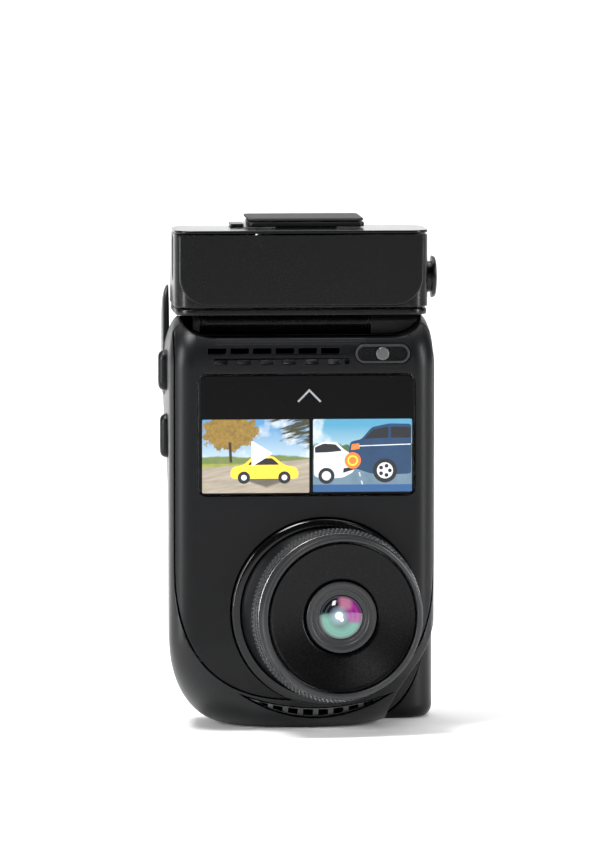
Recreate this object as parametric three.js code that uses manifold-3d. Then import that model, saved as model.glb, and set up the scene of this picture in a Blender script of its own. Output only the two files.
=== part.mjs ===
// Dash camera with a folding windscreen mount, standing on its flat underside.
// Millimetres. X points right for someone who faces the screen, Y away from them, Z up.
// The origin lies on the underside, below the middle of the body.
import * as THREE from 'three';
import { mergeVertices } from 'three/addons/utils/BufferGeometryUtils.js';
import Module from 'manifold-3d';

const wasm = await Module();
wasm.setup();

// ---- driving dimensions ----
const GAP = 0.3; // clearance between neighbouring pieces
const WALL = 1.6; // wall of the body's shells

const BODY = {
  front: -16, // flat of the fascia
  back: 14,
  half: 28.8, // half width at the front
  backHalfLow: 27.9, // half width at the back, below
  backHalfHigh: 29.3, // half width at the back, by the hinge
  top: 90, // top of the shoulders
  saddle: 85.3, // flat top between the shoulders
};
const BOWL = { height: 20, depth: 9, inset: 14 }; // rounding of the underside
const CROWN = { start: 79, depth: 11, inset: 2.9 }; // rounding of the upper front edge
const COVER = { half: 28, seamZ: 37, lowZ: 6.8, back: -9.5, centreX: 0.4 }; // U-shaped fascia outline
const RISER = { inner: 27.8, outer: 29.3 }; // tongue on the left, beside the mount

const SCREEN = { x: 0.75, z: 64.5, width: 46.5, height: 25.9, radius: 1.8, glass: 1.2 };
const SWITCH = { x: 17.2, z: 82, length: 11.3, height: 3.6, thumb: 3 };
const VENT_ROWS = [
  { z: 82.6, width: 4, height: 1.2, start: -18.6, pitch: 4.9, count: 6 },
  { z: 80.3, width: 2.8, height: 1.1, start: -17.7, pitch: 4.9, count: 6 },
];
const LOWER_VENT = {
  x: 3, tipZ: 8.2, half: 17, drop: 4.6, thick: 2.6, slots: 8, pitch: 3.3, slotWidth: 2.1, slotHeight: 1.4,
};
const SIDE_SLOTS = { y: -6.5, top: 36.4, pitch: 4.1, count: 4, height: 2.8, width: 1.2 };
const SIDE_BUTTONS = [
  { name: 'upper_button', y: -1.5, z: 77.6, length: 9.4 },
  { name: 'lower_button', y: -2, z: 63.4, length: 10.2 },
];
const BUTTON = { width: 4.8, proud: 1.6, flange: 0.7 };
const BACK_PLATE = { front: 12.2, tubEnd: 11.9 }; // the back cover and the tub's rear edge
const BACK_VENTS = { rows: [62, 58], start: -16, pitch: 8, count: 5, width: 5.2, height: 1.2 };
const COVER_SCREWS = [[-22, 71], [22, 71], [-21, 14]]; // x and z of each
const SCREW = { hole: 1.3, shank: 1, head: 1.25, tip: 4.6, top: 13.8 };
const WIRING = { width: 12, height: 10 }; // opening between the body and the road camera
const CARD = { left: 13.8, right: 28.4, y: 5.7, thick: 1, low: 54.6, high: 65.4 };

const LENS = { x: 4.8, y: -9.5, z: 26, pan: 8.5 }; // centre of the ball, and how far it is turned right
const BALL = { radius: 19.7, wall: 1.5, rear: -9, front: 12.9, bore: 8.4 };
const BEZEL = { outer: 20.3, proud: 1.2, deep: 3 };
const FOCUS = { rear: 13.4, front: 16.6, outer: 19.6, inner: 14.6, tooth: 0.5, teeth: 60 };
const HOOD = { rear: 16.9, front: 19.8, rearR: 18, frontR: 17.4, dish: 16.4, hole: 8.1 };

const HINGE = {
  y: -3, z: 88, radius: 2.2, shaft: 1.1, bore: 1.2, left: -23.3, right: 26.2, shaftRight: 23.6,
};
const BARREL = { left: -20.9, right: 14.6 };
const SLOPE = { angle: 42, offset: 1.2 }; // plane behind the hinge that the mount folds down to

const MOUNT = { front: -13, half: 27.5, floor: 90.5, lid: 107.8, backLow: 16, backHigh: 9, wall: 1.8 };
const PLATE = { x: 1.5, width: 25.4, front: -4, back: 16, z: 108.8, thick: 1, pad: 0.6 };
const RAIL = { neck: 13.4, head: 17.4, headLow: 103.6, headHigh: 105.6 };
const INLET = { y: -3, z: 102.3, length: 9, height: 3.2, depth: 7 };
const RELEASE = { y: -4, z: 97.9, radius: 4.6, proud: 1.6 };

const POD = { left: 2, right: 30.3, front: 6, back: 24, top: 34, radius: 7 };
const ROAD = { x: 15.8, z: 17.5, ring: 10.4, barrel: 6 };

// ---- colours and finishes ----
const finish = (color, roughness, metalness = 0) =>
  new THREE.MeshStandardMaterial({ color, roughness, metalness });
const SATIN = finish(0x1b1c1e, 0.45);
const SATIN_GREY = finish(0x2a2b2e, 0.5);
const GLOSS = finish(0x060607, 0.08);
const GREY_RING = finish(0x3a3b3e, 0.45);
const GLASS = finish(0x10141a, 0.03);
const COATED_GLASS = finish(0x1c3a34, 0.02);
const STEEL = finish(0xb8babd, 0.3, 1);
const ALUMINIUM = finish(0xa9abae, 0.4, 1);
const BOARD = finish(0x14472c, 0.6);
const CHIP = finish(0x17181a, 0.55);
const FOAM = finish(0x1e1e20, 0.9);
const FILM = finish(0xe6e6e3, 0.35);
const COPPER = finish(0xb87443, 0.35, 1);

// ---- working with solids ----
function toSolid(geometry) {
  const bare = geometry.index ? geometry.toNonIndexed() : geometry.clone();
  bare.deleteAttribute('normal');
  bare.deleteAttribute('uv');
  const merged = mergeVertices(bare, 1e-4);
  const points = merged.getAttribute('position').array;
  const index = merged.index.array;
  const triangles = [];
  for (let i = 0; i < index.length; i += 3) {
    const [a, b, c] = [index[i], index[i + 1], index[i + 2]];
    if (a !== b && b !== c && c !== a) triangles.push(a, b, c);
  }
  if (signedVolume(points, triangles) < 0) triangles.reverse();
  return new wasm.Manifold(
    new wasm.Mesh({ numProp: 3, vertProperties: points, triVerts: Uint32Array.from(triangles) }),
  );
}

function signedVolume(points, triangles) {
  const [a, b, c] = [new THREE.Vector3(), new THREE.Vector3(), new THREE.Vector3()];
  let volume = 0;
  for (let i = 0; i < triangles.length; i += 3) {
    a.fromArray(points, 3 * triangles[i]);
    b.fromArray(points, 3 * triangles[i + 1]);
    c.fromArray(points, 3 * triangles[i + 2]);
    volume += a.dot(b.cross(c)) / 6;
  }
  return volume;
}

function toGeometry(solid) {
  const mesh = solid.getMesh();
  const geometry = new THREE.BufferGeometry();
  geometry.setAttribute('position', new THREE.BufferAttribute(mesh.vertProperties, 3));
  geometry.setIndex(new THREE.BufferAttribute(mesh.triVerts, 1));
  return geometry;
}

const cut = (solid, ...tools) => tools.reduce((left, tool) => left.subtract(tool), solid);
const join = (first, ...others) => others.reduce((sum, other) => sum.add(other), first);

// ---- basic shapes, each returned as a solid ----
function box(x0, x1, y0, y1, z0, z1) {
  const geometry = new THREE.BoxGeometry(x1 - x0, y1 - y0, z1 - z0);
  return toSolid(geometry.translate((x0 + x1) / 2, (y0 + y1) / 2, (z0 + z1) / 2));
}

const outline = (points) => new THREE.Shape(points.map(([a, b]) => new THREE.Vector2(a, b)));

// A flat outline pushed along one axis: its two coordinates are the other two axes in order.
function prism(shape, axis, from, to, curveSegments = 3) {
  const geometry = new THREE.ExtrudeGeometry(shape, {
    depth: to - from,
    bevelEnabled: false,
    curveSegments,
  });
  if (axis === 'x') {
    const basis = new THREE.Matrix4().makeBasis(
      new THREE.Vector3(0, 1, 0), new THREE.Vector3(0, 0, 1), new THREE.Vector3(1, 0, 0));
    geometry.applyMatrix4(basis).translate(from, 0, 0);
  } else if (axis === 'y') {
    geometry.rotateX(Math.PI / 2).translate(0, to, 0);
  } else {
    geometry.translate(0, 0, from);
  }
  return toSolid(geometry);
}

function roundedRect(width, height, radius, centreA = 0, centreB = 0) {
  const shape = new THREE.Shape();
  const [w, h] = [width / 2 - radius, height / 2 - radius];
  shape.absarc(centreA + w, centreB + h, radius, 0, Math.PI / 2);
  shape.absarc(centreA - w, centreB + h, radius, Math.PI / 2, Math.PI);
  shape.absarc(centreA - w, centreB - h, radius, Math.PI, Math.PI * 1.5);
  shape.absarc(centreA + w, centreB - h, radius, Math.PI * 1.5, Math.PI * 2);
  return shape;
}

function rod(axis, radius, from, to, a, b, segments = 9) {
  const shape = new THREE.Shape().absarc(a, b, radius, 0, Math.PI * 2);
  return prism(shape, axis, from, to, segments);
}

// A closed profile of [radius, distance] pairs turned about the lens axis, which points to -Y.
function turned(profile, segments = 28) {
  const loop = [...profile, profile[0]];
  const points = loop.map(([radius, out]) => new THREE.Vector2(radius, -out));
  return toSolid(new THREE.LatheGeometry(points, segments));
}

function arcPoints(radius, from, to, steps) {
  const points = [];
  for (let i = 0; i <= steps; i += 1) {
    const out = from + ((to - from) * i) / steps;
    points.push([Math.sqrt(radius * radius - out * out), out]);
  }
  return points;
}

// ---- lofted casings ----
// One level: a rounded rectangle whose front corners are quarter ellipses.
function section({ z, half, backHalf, front, back, rx, ry, rb, x = 0 }) {
  const corners = [
    { cx: half - rx, cy: front + ry, rx, ry, from: -90, steps: 6 },
    { cx: backHalf - rb, cy: back - rb, rx: rb, ry: rb, from: 0, steps: 3 },
    { cx: rb - backHalf, cy: back - rb, rx: rb, ry: rb, from: 90, steps: 3 },
    { cx: rx - half, cy: front + ry, rx, ry, from: 180, steps: 6 },
  ];
  const ring = [];
  for (const corner of corners) {
    for (let i = 0; i <= corner.steps; i += 1) {
      const turn = THREE.MathUtils.degToRad(corner.from + (90 * i) / corner.steps);
      ring.push(new THREE.Vector3(
        x + corner.cx + corner.rx * Math.cos(turn), corner.cy + corner.ry * Math.sin(turn), z));
    }
  }
  return ring;
}

function loft(rings) {
  const count = rings[0].length;
  const triangles = [];
  const last = rings.length - 1;
  for (let i = 1; i < count - 1; i += 1) {
    triangles.push(rings[0][0], rings[0][i + 1], rings[0][i]);
    triangles.push(rings[last][0], rings[last][i], rings[last][i + 1]);
  }
  for (let level = 0; level < last; level += 1) {
    for (let i = 0; i < count; i += 1) {
      const next = (i + 1) % count;
      const [a, b] = [rings[level][i], rings[level][next]];
      const [c, d] = [rings[level + 1][i], rings[level + 1][next]];
      triangles.push(a, b, d, a, d, c);
    }
  }
  return toSolid(new THREE.BufferGeometry().setFromPoints(triangles));
}

// How far an elliptical rounding has drawn in at a share t of its height, from 0 to 1.
const drawIn = (t) => 1 - Math.sqrt(Math.max(0, 1 - t * t));
const BODY_LEVELS = [0, 1, 2.5, 4.5, 7, 10, 14, 20, 30, 45, 60, 72, 79, 82, 84.5, 86.5, 88.5, 90];

function bodyLevel(height, inset) {
  const low = Math.max(0, 1 - height / BOWL.height);
  const high = Math.max(0, (height - CROWN.start) / (BODY.top - CROWN.start));
  const rise = THREE.MathUtils.smoothstep(height, 45, 82);
  const narrow = BOWL.inset * drawIn(low) + CROWN.inset * drawIn(high);
  const half = BODY.half - narrow - inset;
  return {
    z: inset + (height * (BODY.top - 2 * inset)) / BODY.top,
    half,
    backHalf: THREE.MathUtils.lerp(BODY.backHalfLow, BODY.backHalfHigh, rise) - narrow - inset,
    front: BODY.front + BOWL.depth * drawIn(low) + CROWN.depth * drawIn(high) + inset,
    back: BODY.back - inset,
    rx: THREE.MathUtils.lerp(5.5, half - 1, low * low),
    ry: THREE.MathUtils.lerp(5.5, 12, low),
    rb: 4,
  };
}

const bodyLoft = (inset) => loft(BODY_LEVELS.map((height) => section(bodyLevel(height, inset))));

// Everything above the saddle between the shoulders and above the slope behind the hinge.
function bodyTopCut(lower) {
  const saddle = outline([
    [-27.2, 95], [-26.4, 89.6], [-25, 87.4], [-23, 86], [-20, BODY.saddle],
    [20, BODY.saddle], [23, 86], [25, 87.4], [26.4, 89.6], [27.2, 95],
  ]);
  const turn = THREE.MathUtils.degToRad(SLOPE.angle);
  const slopeZ = (y) => HINGE.z + (SLOPE.offset - (y - HINGE.y) * Math.sin(turn)) / Math.cos(turn);
  const slope = outline([
    [HINGE.y - 0.5, slopeZ(HINGE.y - 0.5)], [20, slopeZ(20)], [20, 99], [HINGE.y - 0.5, 99],
  ]);
  const across = prism(saddle, 'y', -25, 25);
  const behind = prism(slope, 'x', -40, 40);
  return join(across, behind).translate([0, 0, -lower]);
}

// The lower right of the front lobe curves in, which leaves room for the road camera's module.
function lobeCut(shift) {
  const side = outline([
    [29.4, 26], [28.5, 22.5], [27.2, 18.4], [25.2, 15], [22.8, 11.6], [20.6, 8], [19.2, 4.6], [18.4, -1],
    [40, -1], [40, 26],
  ]);
  return prism(side, 'y', -25, 5.6).translate([-0.8 * shift, 0, 0.6 * shift]);
}

const outerBody = cut(bodyLoft(0), bodyTopCut(0), lobeCut(0));
const innerBody = cut(bodyLoft(WALL), bodyTopCut(WALL), lobeCut(WALL));
const bodyWalls = cut(outerBody, innerBody);

// The fascia's outline: straight sides that end in a deep U under the lens.
function coverOutline(grow) {
  const half = COVER.half + grow;
  const drop = COVER.seamZ - COVER.lowZ + grow;
  const fullness = 2.5;
  const points = [[COVER.centreX + half, 99]];
  for (let degrees = 0; degrees <= 180; degrees += 7.5) {
    const turn = THREE.MathUtils.degToRad(degrees);
    const [c, s] = [Math.cos(turn), Math.sin(turn)];
    points.push([
      COVER.centreX + half * Math.sign(c) * Math.abs(c) ** (2 / fullness),
      COVER.seamZ - drop * s ** (2 / fullness),
    ]);
  }
  points.push([COVER.centreX - half, 99]);
  return outline(points);
}

const lensRod = (radius, from, to) => rod('y', radius, from, to, LENS.x, LENS.z, 18);

// The lens bezel sits in a round recess that crosses the seam of the fascia and the housing.
const lensClearance = join(
  lensRod(BEZEL.outer + GAP, -30, BODY.front + BEZEL.deep + GAP),
  lensRod(BALL.radius + 0.4, -30, BODY.front + 8),
);

function frontCover() {
  const region = prism(coverOutline(0), 'y', -25, COVER.back);
  const window = prism(
    roundedRect(SCREEN.width + 2 * GAP, SCREEN.height + 2 * GAP, SCREEN.radius, SCREEN.x, SCREEN.z),
    'y', -20, -13);
  const pocket = prism(
    roundedRect(SWITCH.length + 2 * GAP, SWITCH.height + 2 * GAP, SWITCH.height / 2, SWITCH.x, SWITCH.z),
    'y', -20, -12);
  let cover = cut(bodyWalls.intersect(region), window, pocket, lensClearance);
  for (const row of VENT_ROWS) {
    for (let i = 0; i < row.count; i += 1) {
      const x = row.start + i * row.pitch;
      const [halfW, halfH] = [row.width / 2, row.height / 2];
      cover = cut(cover, box(x - halfW, x + halfW, -20, -12, row.z - halfH, row.z + halfH));
    }
  }
  return cover;
}

// A crescent that opens upwards, with pointed tips, round the foot of the lens.
function crescent(shrink) {
  const shape = new THREE.Shape();
  const half = LOWER_VENT.half - 7 * shrink;
  const middle = LOWER_VENT.tipZ - LOWER_VENT.drop;
  const low = middle - LOWER_VENT.thick / 2 + shrink;
  const high = middle + LOWER_VENT.thick / 2 - shrink;
  const tipZ = middle + LOWER_VENT.drop * (half / LOWER_VENT.half) ** 2;
  shape.moveTo(LOWER_VENT.x - half, tipZ);
  shape.quadraticCurveTo(LOWER_VENT.x, 2 * low - tipZ, LOWER_VENT.x + half, tipZ);
  shape.quadraticCurveTo(LOWER_VENT.x, 2 * high - tipZ, LOWER_VENT.x - half, tipZ);
  return shape;
}

function sideButtonHole(button) {
  return prism(
    roundedRect(BUTTON.width, button.length, BUTTON.width / 2 - 0.01, button.y, button.z),
    'x', -34, -24);
}

function mainHousing() {
  const riser = outline([
    [3, 72], [4.5, 87], [6, 92], [8, 95], [9.5, 95.6], [11, 94.8], [11.9, 92.8], [11.9, 72],
  ]);
  const slots = [];
  for (let i = 0; i < SIDE_SLOTS.count; i += 1) {
    const z = SIDE_SLOTS.top - i * SIDE_SLOTS.pitch;
    slots.push(box(-34, -24, SIDE_SLOTS.y - SIDE_SLOTS.width / 2, SIDE_SLOTS.y + SIDE_SLOTS.width / 2,
      z - SIDE_SLOTS.height / 2, z + SIDE_SLOTS.height / 2));
  }
  const cardSlot = box(
    24, 34, CARD.y - CARD.thick / 2 - 0.4, CARD.y + CARD.thick / 2 + 0.4, CARD.low - 0.6, CARD.high + 0.6);
  const tub = cut(
    bodyWalls,
    prism(coverOutline(GAP), 'y', -25, COVER.back + GAP),
    box(-40, 40, BACK_PLATE.tubEnd, 20, -1, 99),
    lensClearance,
    prism(crescent(0), 'y', -25, -3, 8),
    ...SIDE_BUTTONS.map(sideButtonHole),
    ...slots,
    cardSlot,
  );
  return join(tub, prism(riser, 'x', -RISER.outer, -RISER.inner));
}

function backCover() {
  const slab = outerBody.intersect(box(-40, 40, BACK_PLATE.front, 20, -1, 99));
  const opening = box(ROAD.x - WIRING.width / 2, ROAD.x + WIRING.width / 2, 10, 20,
    ROAD.z - WIRING.height / 2, ROAD.z + WIRING.height / 2);
  const holes = COVER_SCREWS.map(([x, z]) => rod('y', SCREW.hole, 10, 20, x, z, 4));
  const slots = [];
  for (const z of BACK_VENTS.rows) {
    for (let i = 0; i < BACK_VENTS.count; i += 1) {
      const x = BACK_VENTS.start + i * BACK_VENTS.pitch;
      slots.push(box(x - BACK_VENTS.width / 2, x + BACK_VENTS.width / 2, 10, 20,
        z - BACK_VENTS.height / 2, z + BACK_VENTS.height / 2));
    }
  }
  return cut(slab, opening, ...holes, ...slots);
}

function coverScrew([x, z]) {
  return join(
    rod('y', SCREW.shank, SCREW.tip, SCREW.top - 0.6, x, z, 4),
    rod('y', SCREW.head, SCREW.top - 1.2, SCREW.top, x, z, 4),
  );
}

// One slot of the lower grille: it follows the slope and the taper of the crescent.
function lowerSlot(x) {
  const inside = LOWER_VENT.half - 7 * GAP;
  const corners = [[-1, -1], [1, -1], [1, 1], [-1, 1]].map(([side, up]) => {
    const across = x + (side * LOWER_VENT.slotWidth) / 2;
    const middle = LOWER_VENT.tipZ - LOWER_VENT.drop * (1 - (across / LOWER_VENT.half) ** 2);
    const reach = (LOWER_VENT.slotHeight / 2) * (1 - (across / inside) ** 2);
    return [LOWER_VENT.x + across, middle + up * reach];
  });
  return prism(outline(corners), 'y', -25, -3);
}

function lowerVentGrille() {
  const band = cut(bodyLoft(0.5), bodyLoft(1.5)).intersect(prism(crescent(GAP), 'y', -25, -3, 8));
  const slots = [];
  for (let i = 0; i < LOWER_VENT.slots; i += 1) {
    slots.push(lowerSlot((i - (LOWER_VENT.slots - 1) / 2) * LOWER_VENT.pitch));
  }
  return cut(band, ...slots);
}

// ---- screen and switch ----
function screenGlass() {
  const shape = roundedRect(SCREEN.width, SCREEN.height, SCREEN.radius - GAP, SCREEN.x, SCREEN.z);
  return prism(shape, 'y', BODY.front, BODY.front + SCREEN.glass);
}

function behindScreen(from, to, margin) {
  const [w, h] = [SCREEN.width / 2 - margin, SCREEN.height / 2 - margin];
  return box(SCREEN.x - w, SCREEN.x + w, from, to, SCREEN.z - h, SCREEN.z + h);
}

function switchBase() {
  const shape = roundedRect(SWITCH.length, SWITCH.height, SWITCH.height / 2 - 0.01, SWITCH.x, SWITCH.z);
  return prism(shape, 'y', -15.3, -14.2);
}

function slideSwitch() {
  return join(
    rod('y', SWITCH.thumb / 2, -16.4, -15.7, SWITCH.x, SWITCH.z, 8),
    box(SWITCH.x - 1.2, SWITCH.x + 1.2, -15.8, -15.6, SWITCH.z - 0.9, SWITCH.z + 0.9),
  );
}

// ---- side buttons: a long cap with a flange that keeps it in ----
const wallX = (button) => -(THREE.MathUtils.lerp(
  BODY.half, THREE.MathUtils.lerp(BODY.backHalfLow, BODY.backHalfHigh,
    THREE.MathUtils.smoothstep(button.z, 45, 82)), 0.55));

function sideButton(button) {
  const capWidth = BUTTON.width - 2 * GAP;
  const capLength = button.length - 2 * GAP;
  const x = wallX(button);
  const cap = prism(
    roundedRect(capWidth, capLength, capWidth / 2 - 0.01, button.y, button.z),
    'x', x - BUTTON.proud, x + WALL + 0.6);
  const flange = box(x + WALL + 0.5, x + WALL + 0.5 + BUTTON.flange,
    button.y - 3.1, button.y + 3.1, button.z - button.length / 2 - 0.5, button.z + button.length / 2 + 0.5);
  return join(cap, flange);
}

function domeSwitch(button) {
  const x = wallX(button) + WALL + 0.5 + BUTTON.flange + 0.7;
  return rod('x', 2, x, x + 0.6, button.y, button.z, 5);
}

// ---- lens unit, built about the ball's centre with the lens axis to -Y ----
function lensBall() {
  const inner = BALL.radius - BALL.wall;
  const profile = [
    ...arcPoints(BALL.radius, BALL.rear, BALL.front, 8),
    [BALL.bore, BALL.front],
    [BALL.bore, BALL.front - BALL.wall],
    ...arcPoints(inner, BALL.rear, BALL.front - BALL.wall, 5).reverse(),
  ];
  return turned(profile);
}

function lensBezel() {
  const [rear, front] = [BODY.front + BEZEL.deep, BODY.front - BEZEL.proud];
  const ballAt = (y) => Math.sqrt(BALL.radius ** 2 - (y - LENS.y) ** 2) + GAP;
  return turned([
    [ballAt(rear), -rear], [BEZEL.outer, -rear], [BEZEL.outer, -front - 0.4],
    [BEZEL.outer - 0.5, -front], [ballAt(front), -front],
    [ballAt(front + 1.4), -front - 1.4], [ballAt(front + 2.8), -front - 2.8],
  ], 32).translate([LENS.x, 0, LENS.z]);
}

function focusRing() {
  const shape = new THREE.Shape();
  for (let i = 0; i < 2 * FOCUS.teeth; i += 1) {
    const turn = (Math.PI * i) / FOCUS.teeth;
    const radius = FOCUS.outer - (i % 2) * FOCUS.tooth;
    const [a, b] = [radius * Math.cos(turn), radius * Math.sin(turn)];
    if (i === 0) shape.moveTo(a, b);
    else shape.lineTo(a, b);
  }
  const ring = prism(shape, 'y', -FOCUS.front, -FOCUS.rear);
  return cut(ring, rod('y', FOCUS.inner, -30, 0, 0, 0, 14));
}

const turret = () => turned([
  [BALL.bore - 0.9, BALL.front + GAP], [FOCUS.inner - GAP, BALL.front + GAP],
  [FOCUS.inner - GAP, FOCUS.front], [HOOD.hole + 0.6, FOCUS.front], [BALL.bore - 0.9, FOCUS.front - 1.2],
]);

const hoodRing = () => turned([
  [HOOD.dish, HOOD.rear], [HOOD.rearR, HOOD.rear], [HOOD.frontR + 0.2, HOOD.front - 0.4],
  [HOOD.frontR - 0.2, HOOD.front], [HOOD.dish + 0.3, HOOD.front], [HOOD.dish, HOOD.front - 0.5],
], 32);

// A shallow cone that falls from the hood's rim to the glass.
const hoodCone = () => turned([
  [HOOD.hole, HOOD.rear], [HOOD.dish - GAP, HOOD.rear], [HOOD.dish - GAP, HOOD.front - 0.6],
  [HOOD.dish - 1, HOOD.front - 0.7], [HOOD.hole, HOOD.rear + 0.9],
], 32);

const lensRetainingRing = () => turned([
  [5.9, 16.4], [HOOD.hole - GAP, 16.4], [HOOD.hole - GAP, 18.1], [7.4, 18.4], [6.6, 18.4], [5.9, 17.4],
]);

const frontElement = () => turned([
  [0, 16.4], [5.5, 16.4], [5.5, 16.9], [4.4, 17.5], [2.8, 18], [1.4, 18.2], [0, 18.3],
]);

const lensBarrel = () => turned([
  [4.6, 7], [6.8, 7], [6.8, 14.6], [5.9, 15.4], [5.9, 16.1], [4.6, 16.1],
]);

const sensorBoard = () => box(-8, 8, -6.7, -5.7, -8, 8);

// A universal joint inside the ball: a block that pans in a fork on the housing
// and carries the lens's own fork, which tilts on it.
function gimbalBlock() {
  return join(box(-2.4, 2.4, -2.4, 2.4, -2.4, 2.4), rod('z', 1.1, -3.7, 3.7, 0, 0, 6),
    rod('x', 1.1, -3.7, 3.7, 0, 0, 6));
}

function gimbalPost() {
  const prongs = join(box(-1.9, 1.9, -1.9, 9, 2.7, 3.9), box(-1.9, 1.9, -1.9, 9, -3.9, -2.7));
  const stem = join(box(-1.9, 1.9, 6, 9, -3.9, 3.9), box(-3, 3, 8.5, 14, -3.9, 3.9));
  const foot = box(-7, 7, 13.6, 15.2, -8, 8);
  return cut(join(prongs, stem, foot), rod('z', 1.4, -5, 5, 0, 0, 6));
}

function lensCarrier() {
  const arms = join(box(2.7, 3.9, -5.4, 1.9, -1.9, 1.9), box(-3.9, -2.7, -5.4, 1.9, -1.9, 1.9));
  const plate = box(-9, 9, -5.4, -4.4, -9, 9);
  return cut(join(arms, plate), rod('x', 1.4, -5, 5, 0, 0, 6));
}

// ---- hinge ----
const outerBodyGrown = outerBody.translate([0, 0, GAP]);
const alongHinge = (radius, from, to) => rod('x', radius, from, to, HINGE.y, HINGE.z, 9);

function knuckle(from, to) {
  const foot = box(from, to, HINGE.y - HINGE.radius, HINGE.y + HINGE.radius, 80, HINGE.z);
  return cut(join(alongHinge(HINGE.radius, from, to), foot), outerBodyGrown, alongHinge(HINGE.bore, -30, 30));
}

function hingeBarrel() {
  return join(
    alongHinge(HINGE.radius, BARREL.left, BARREL.right),
    box(BARREL.left, BARREL.right, HINGE.y - 1.5, HINGE.y + HINGE.radius, HINGE.z, MOUNT.floor + 0.2),
  );
}

const washer = (from) => cut(alongHinge(2, from, from + 0.5), alongHinge(HINGE.bore, -30, 30));

// ---- mount ----
function mountLevel(z, inset) {
  const share = (z - MOUNT.floor) / (MOUNT.lid - MOUNT.floor);
  return {
    z,
    half: MOUNT.half - inset,
    backHalf: MOUNT.half - inset,
    front: MOUNT.front + inset,
    back: THREE.MathUtils.lerp(MOUNT.backLow, MOUNT.backHigh, share) - inset,
    rx: 4.5 - inset / 2,
    ry: 4.5 - inset / 2,
    rb: 5.5 - inset / 2,
  };
}

function mountBlock(from, to, inset) {
  return loft([from, to].map((z) => section(mountLevel(z, inset))));
}

function mountBasePlate() {
  const plate = mountBlock(MOUNT.floor, MOUNT.floor + 1, 0.2);
  return cut(join(plate, hingeBarrel()), alongHinge(HINGE.bore, -30, 30));
}

function mountShell() {
  const bottom = MOUNT.floor + 1 + GAP;
  const top = MOUNT.lid - GAP;
  const inletSlot = prism(
    roundedRect(INLET.height + 1.2, INLET.length + 1.2, INLET.height / 2 + 0.59, INLET.y, INLET.z),
    'x', -34, -24);
  const railGate = box(PLATE.x - RAIL.head / 2 - 1.6, PLATE.x + RAIL.head / 2 + 1.6, 2, 20, 102, 108);
  return cut(
    mountBlock(bottom, top, 0),
    mountBlock(bottom - 1, top + 1, MOUNT.wall),
    inletSlot,
    rod('x', RELEASE.radius - 0.6, 24, 34, RELEASE.y, RELEASE.z, 10),
    railGate,
  );
}

function mountLid() {
  const slot = box(PLATE.x - RAIL.neck / 2 - GAP, PLATE.x + RAIL.neck / 2 + GAP,
    PLATE.front + 1 - GAP, 20, 100, 112);
  return cut(mountBlock(MOUNT.lid, MOUNT.lid + 0.7, 0), slot);
}

// The C-shaped channel under the lid in which the plate's foot slides.
function railChannel() {
  const half = RAIL.head / 2 + 1.2;
  const outside = box(PLATE.x - half, PLATE.x + half, PLATE.front - 0.6, 8.4,
    RAIL.headLow - 1.1, MOUNT.lid - GAP);
  const headWay = box(PLATE.x - RAIL.head / 2 - GAP, PLATE.x + RAIL.head / 2 + GAP,
    PLATE.front + 1 - GAP, 20, RAIL.headLow - GAP, RAIL.headHigh + GAP);
  const neckWay = box(PLATE.x - RAIL.neck / 2 - GAP, PLATE.x + RAIL.neck / 2 + GAP,
    PLATE.front + 1 - GAP, 20, RAIL.headHigh, 120);
  return cut(outside, headWay, neckWay);
}

function windscreenPlate() {
  const [left, right] = [PLATE.x - PLATE.width / 2, PLATE.x + PLATE.width / 2];
  const middleY = (PLATE.front + PLATE.back) / 2;
  const depth = PLATE.back - PLATE.front;
  const plate = prism(
    roundedRect(right - left, depth, 1.5, PLATE.x, middleY), 'z', PLATE.z, PLATE.z + PLATE.thick);
  const neck = box(PLATE.x - RAIL.neck / 2, PLATE.x + RAIL.neck / 2, PLATE.front + 1, 7,
    RAIL.headLow, PLATE.z + 0.2);
  const head = box(PLATE.x - RAIL.head / 2, PLATE.x + RAIL.head / 2, PLATE.front + 1, 7,
    RAIL.headLow, RAIL.headHigh);
  return join(plate, neck, head);
}

function adhesivePad() {
  const low = PLATE.z + PLATE.thick + GAP;
  const middleY = (PLATE.front + PLATE.back) / 2;
  return prism(
    roundedRect(PLATE.width - 0.4, PLATE.back - PLATE.front - 0.4, 1.3, PLATE.x, middleY),
    'z', low, low + PLATE.pad);
}

// The end of the protective film: it hangs down the plate's left end and sticks out as a tab.
function linerPullTab() {
  const left = PLATE.x - PLATE.width / 2 - GAP;
  const top = PLATE.z + PLATE.thick + GAP + PLATE.pad;
  return join(
    box(left - 0.35, left, -2.5, 12, PLATE.z - 0.2, top),
    box(left - 3.2, left - 0.2, 0, 9, PLATE.z - 0.2, PLATE.z + 0.3),
  );
}

function powerInlet() {
  const outside = roundedRect(INLET.height, INLET.length, INLET.height / 2 - 0.01, INLET.y, INLET.z);
  const inside = roundedRect(
    INLET.height - 0.7, INLET.length - 0.7, INLET.height / 2 - 0.36, INLET.y, INLET.z);
  const from = -MOUNT.half + 0.4;
  const floor = from + INLET.depth - 0.8;
  return cut(prism(outside, 'x', from, from + INLET.depth), prism(inside, 'x', from - 1, floor));
}

function inletTongue() {
  const from = -MOUNT.half + 1.6;
  return box(from, -MOUNT.half + INLET.depth - 0.8, INLET.y - 0.35, INLET.y + 0.35,
    INLET.z - 3.2, INLET.z + 3.2);
}

// A domed cap over the mount's right side, with a stem that passes through the wall to the latch.
function releaseButton() {
  const face = MOUNT.half + 1.3 - 0.1;
  const dome = new THREE.LatheGeometry([
    [0, 0], [RELEASE.radius, 0], [RELEASE.radius, 0.5], [RELEASE.radius - 0.5, 1], [0, RELEASE.proud - 0.4],
  ].map(([r, h]) => new THREE.Vector2(r, h)), 20).rotateZ(-Math.PI / 2);
  const cap = toSolid(dome.translate(face, RELEASE.y, RELEASE.z));
  return join(cap, rod('x', 3.4, 14.2, face + 0.2, RELEASE.y, RELEASE.z, 8));
}

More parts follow.
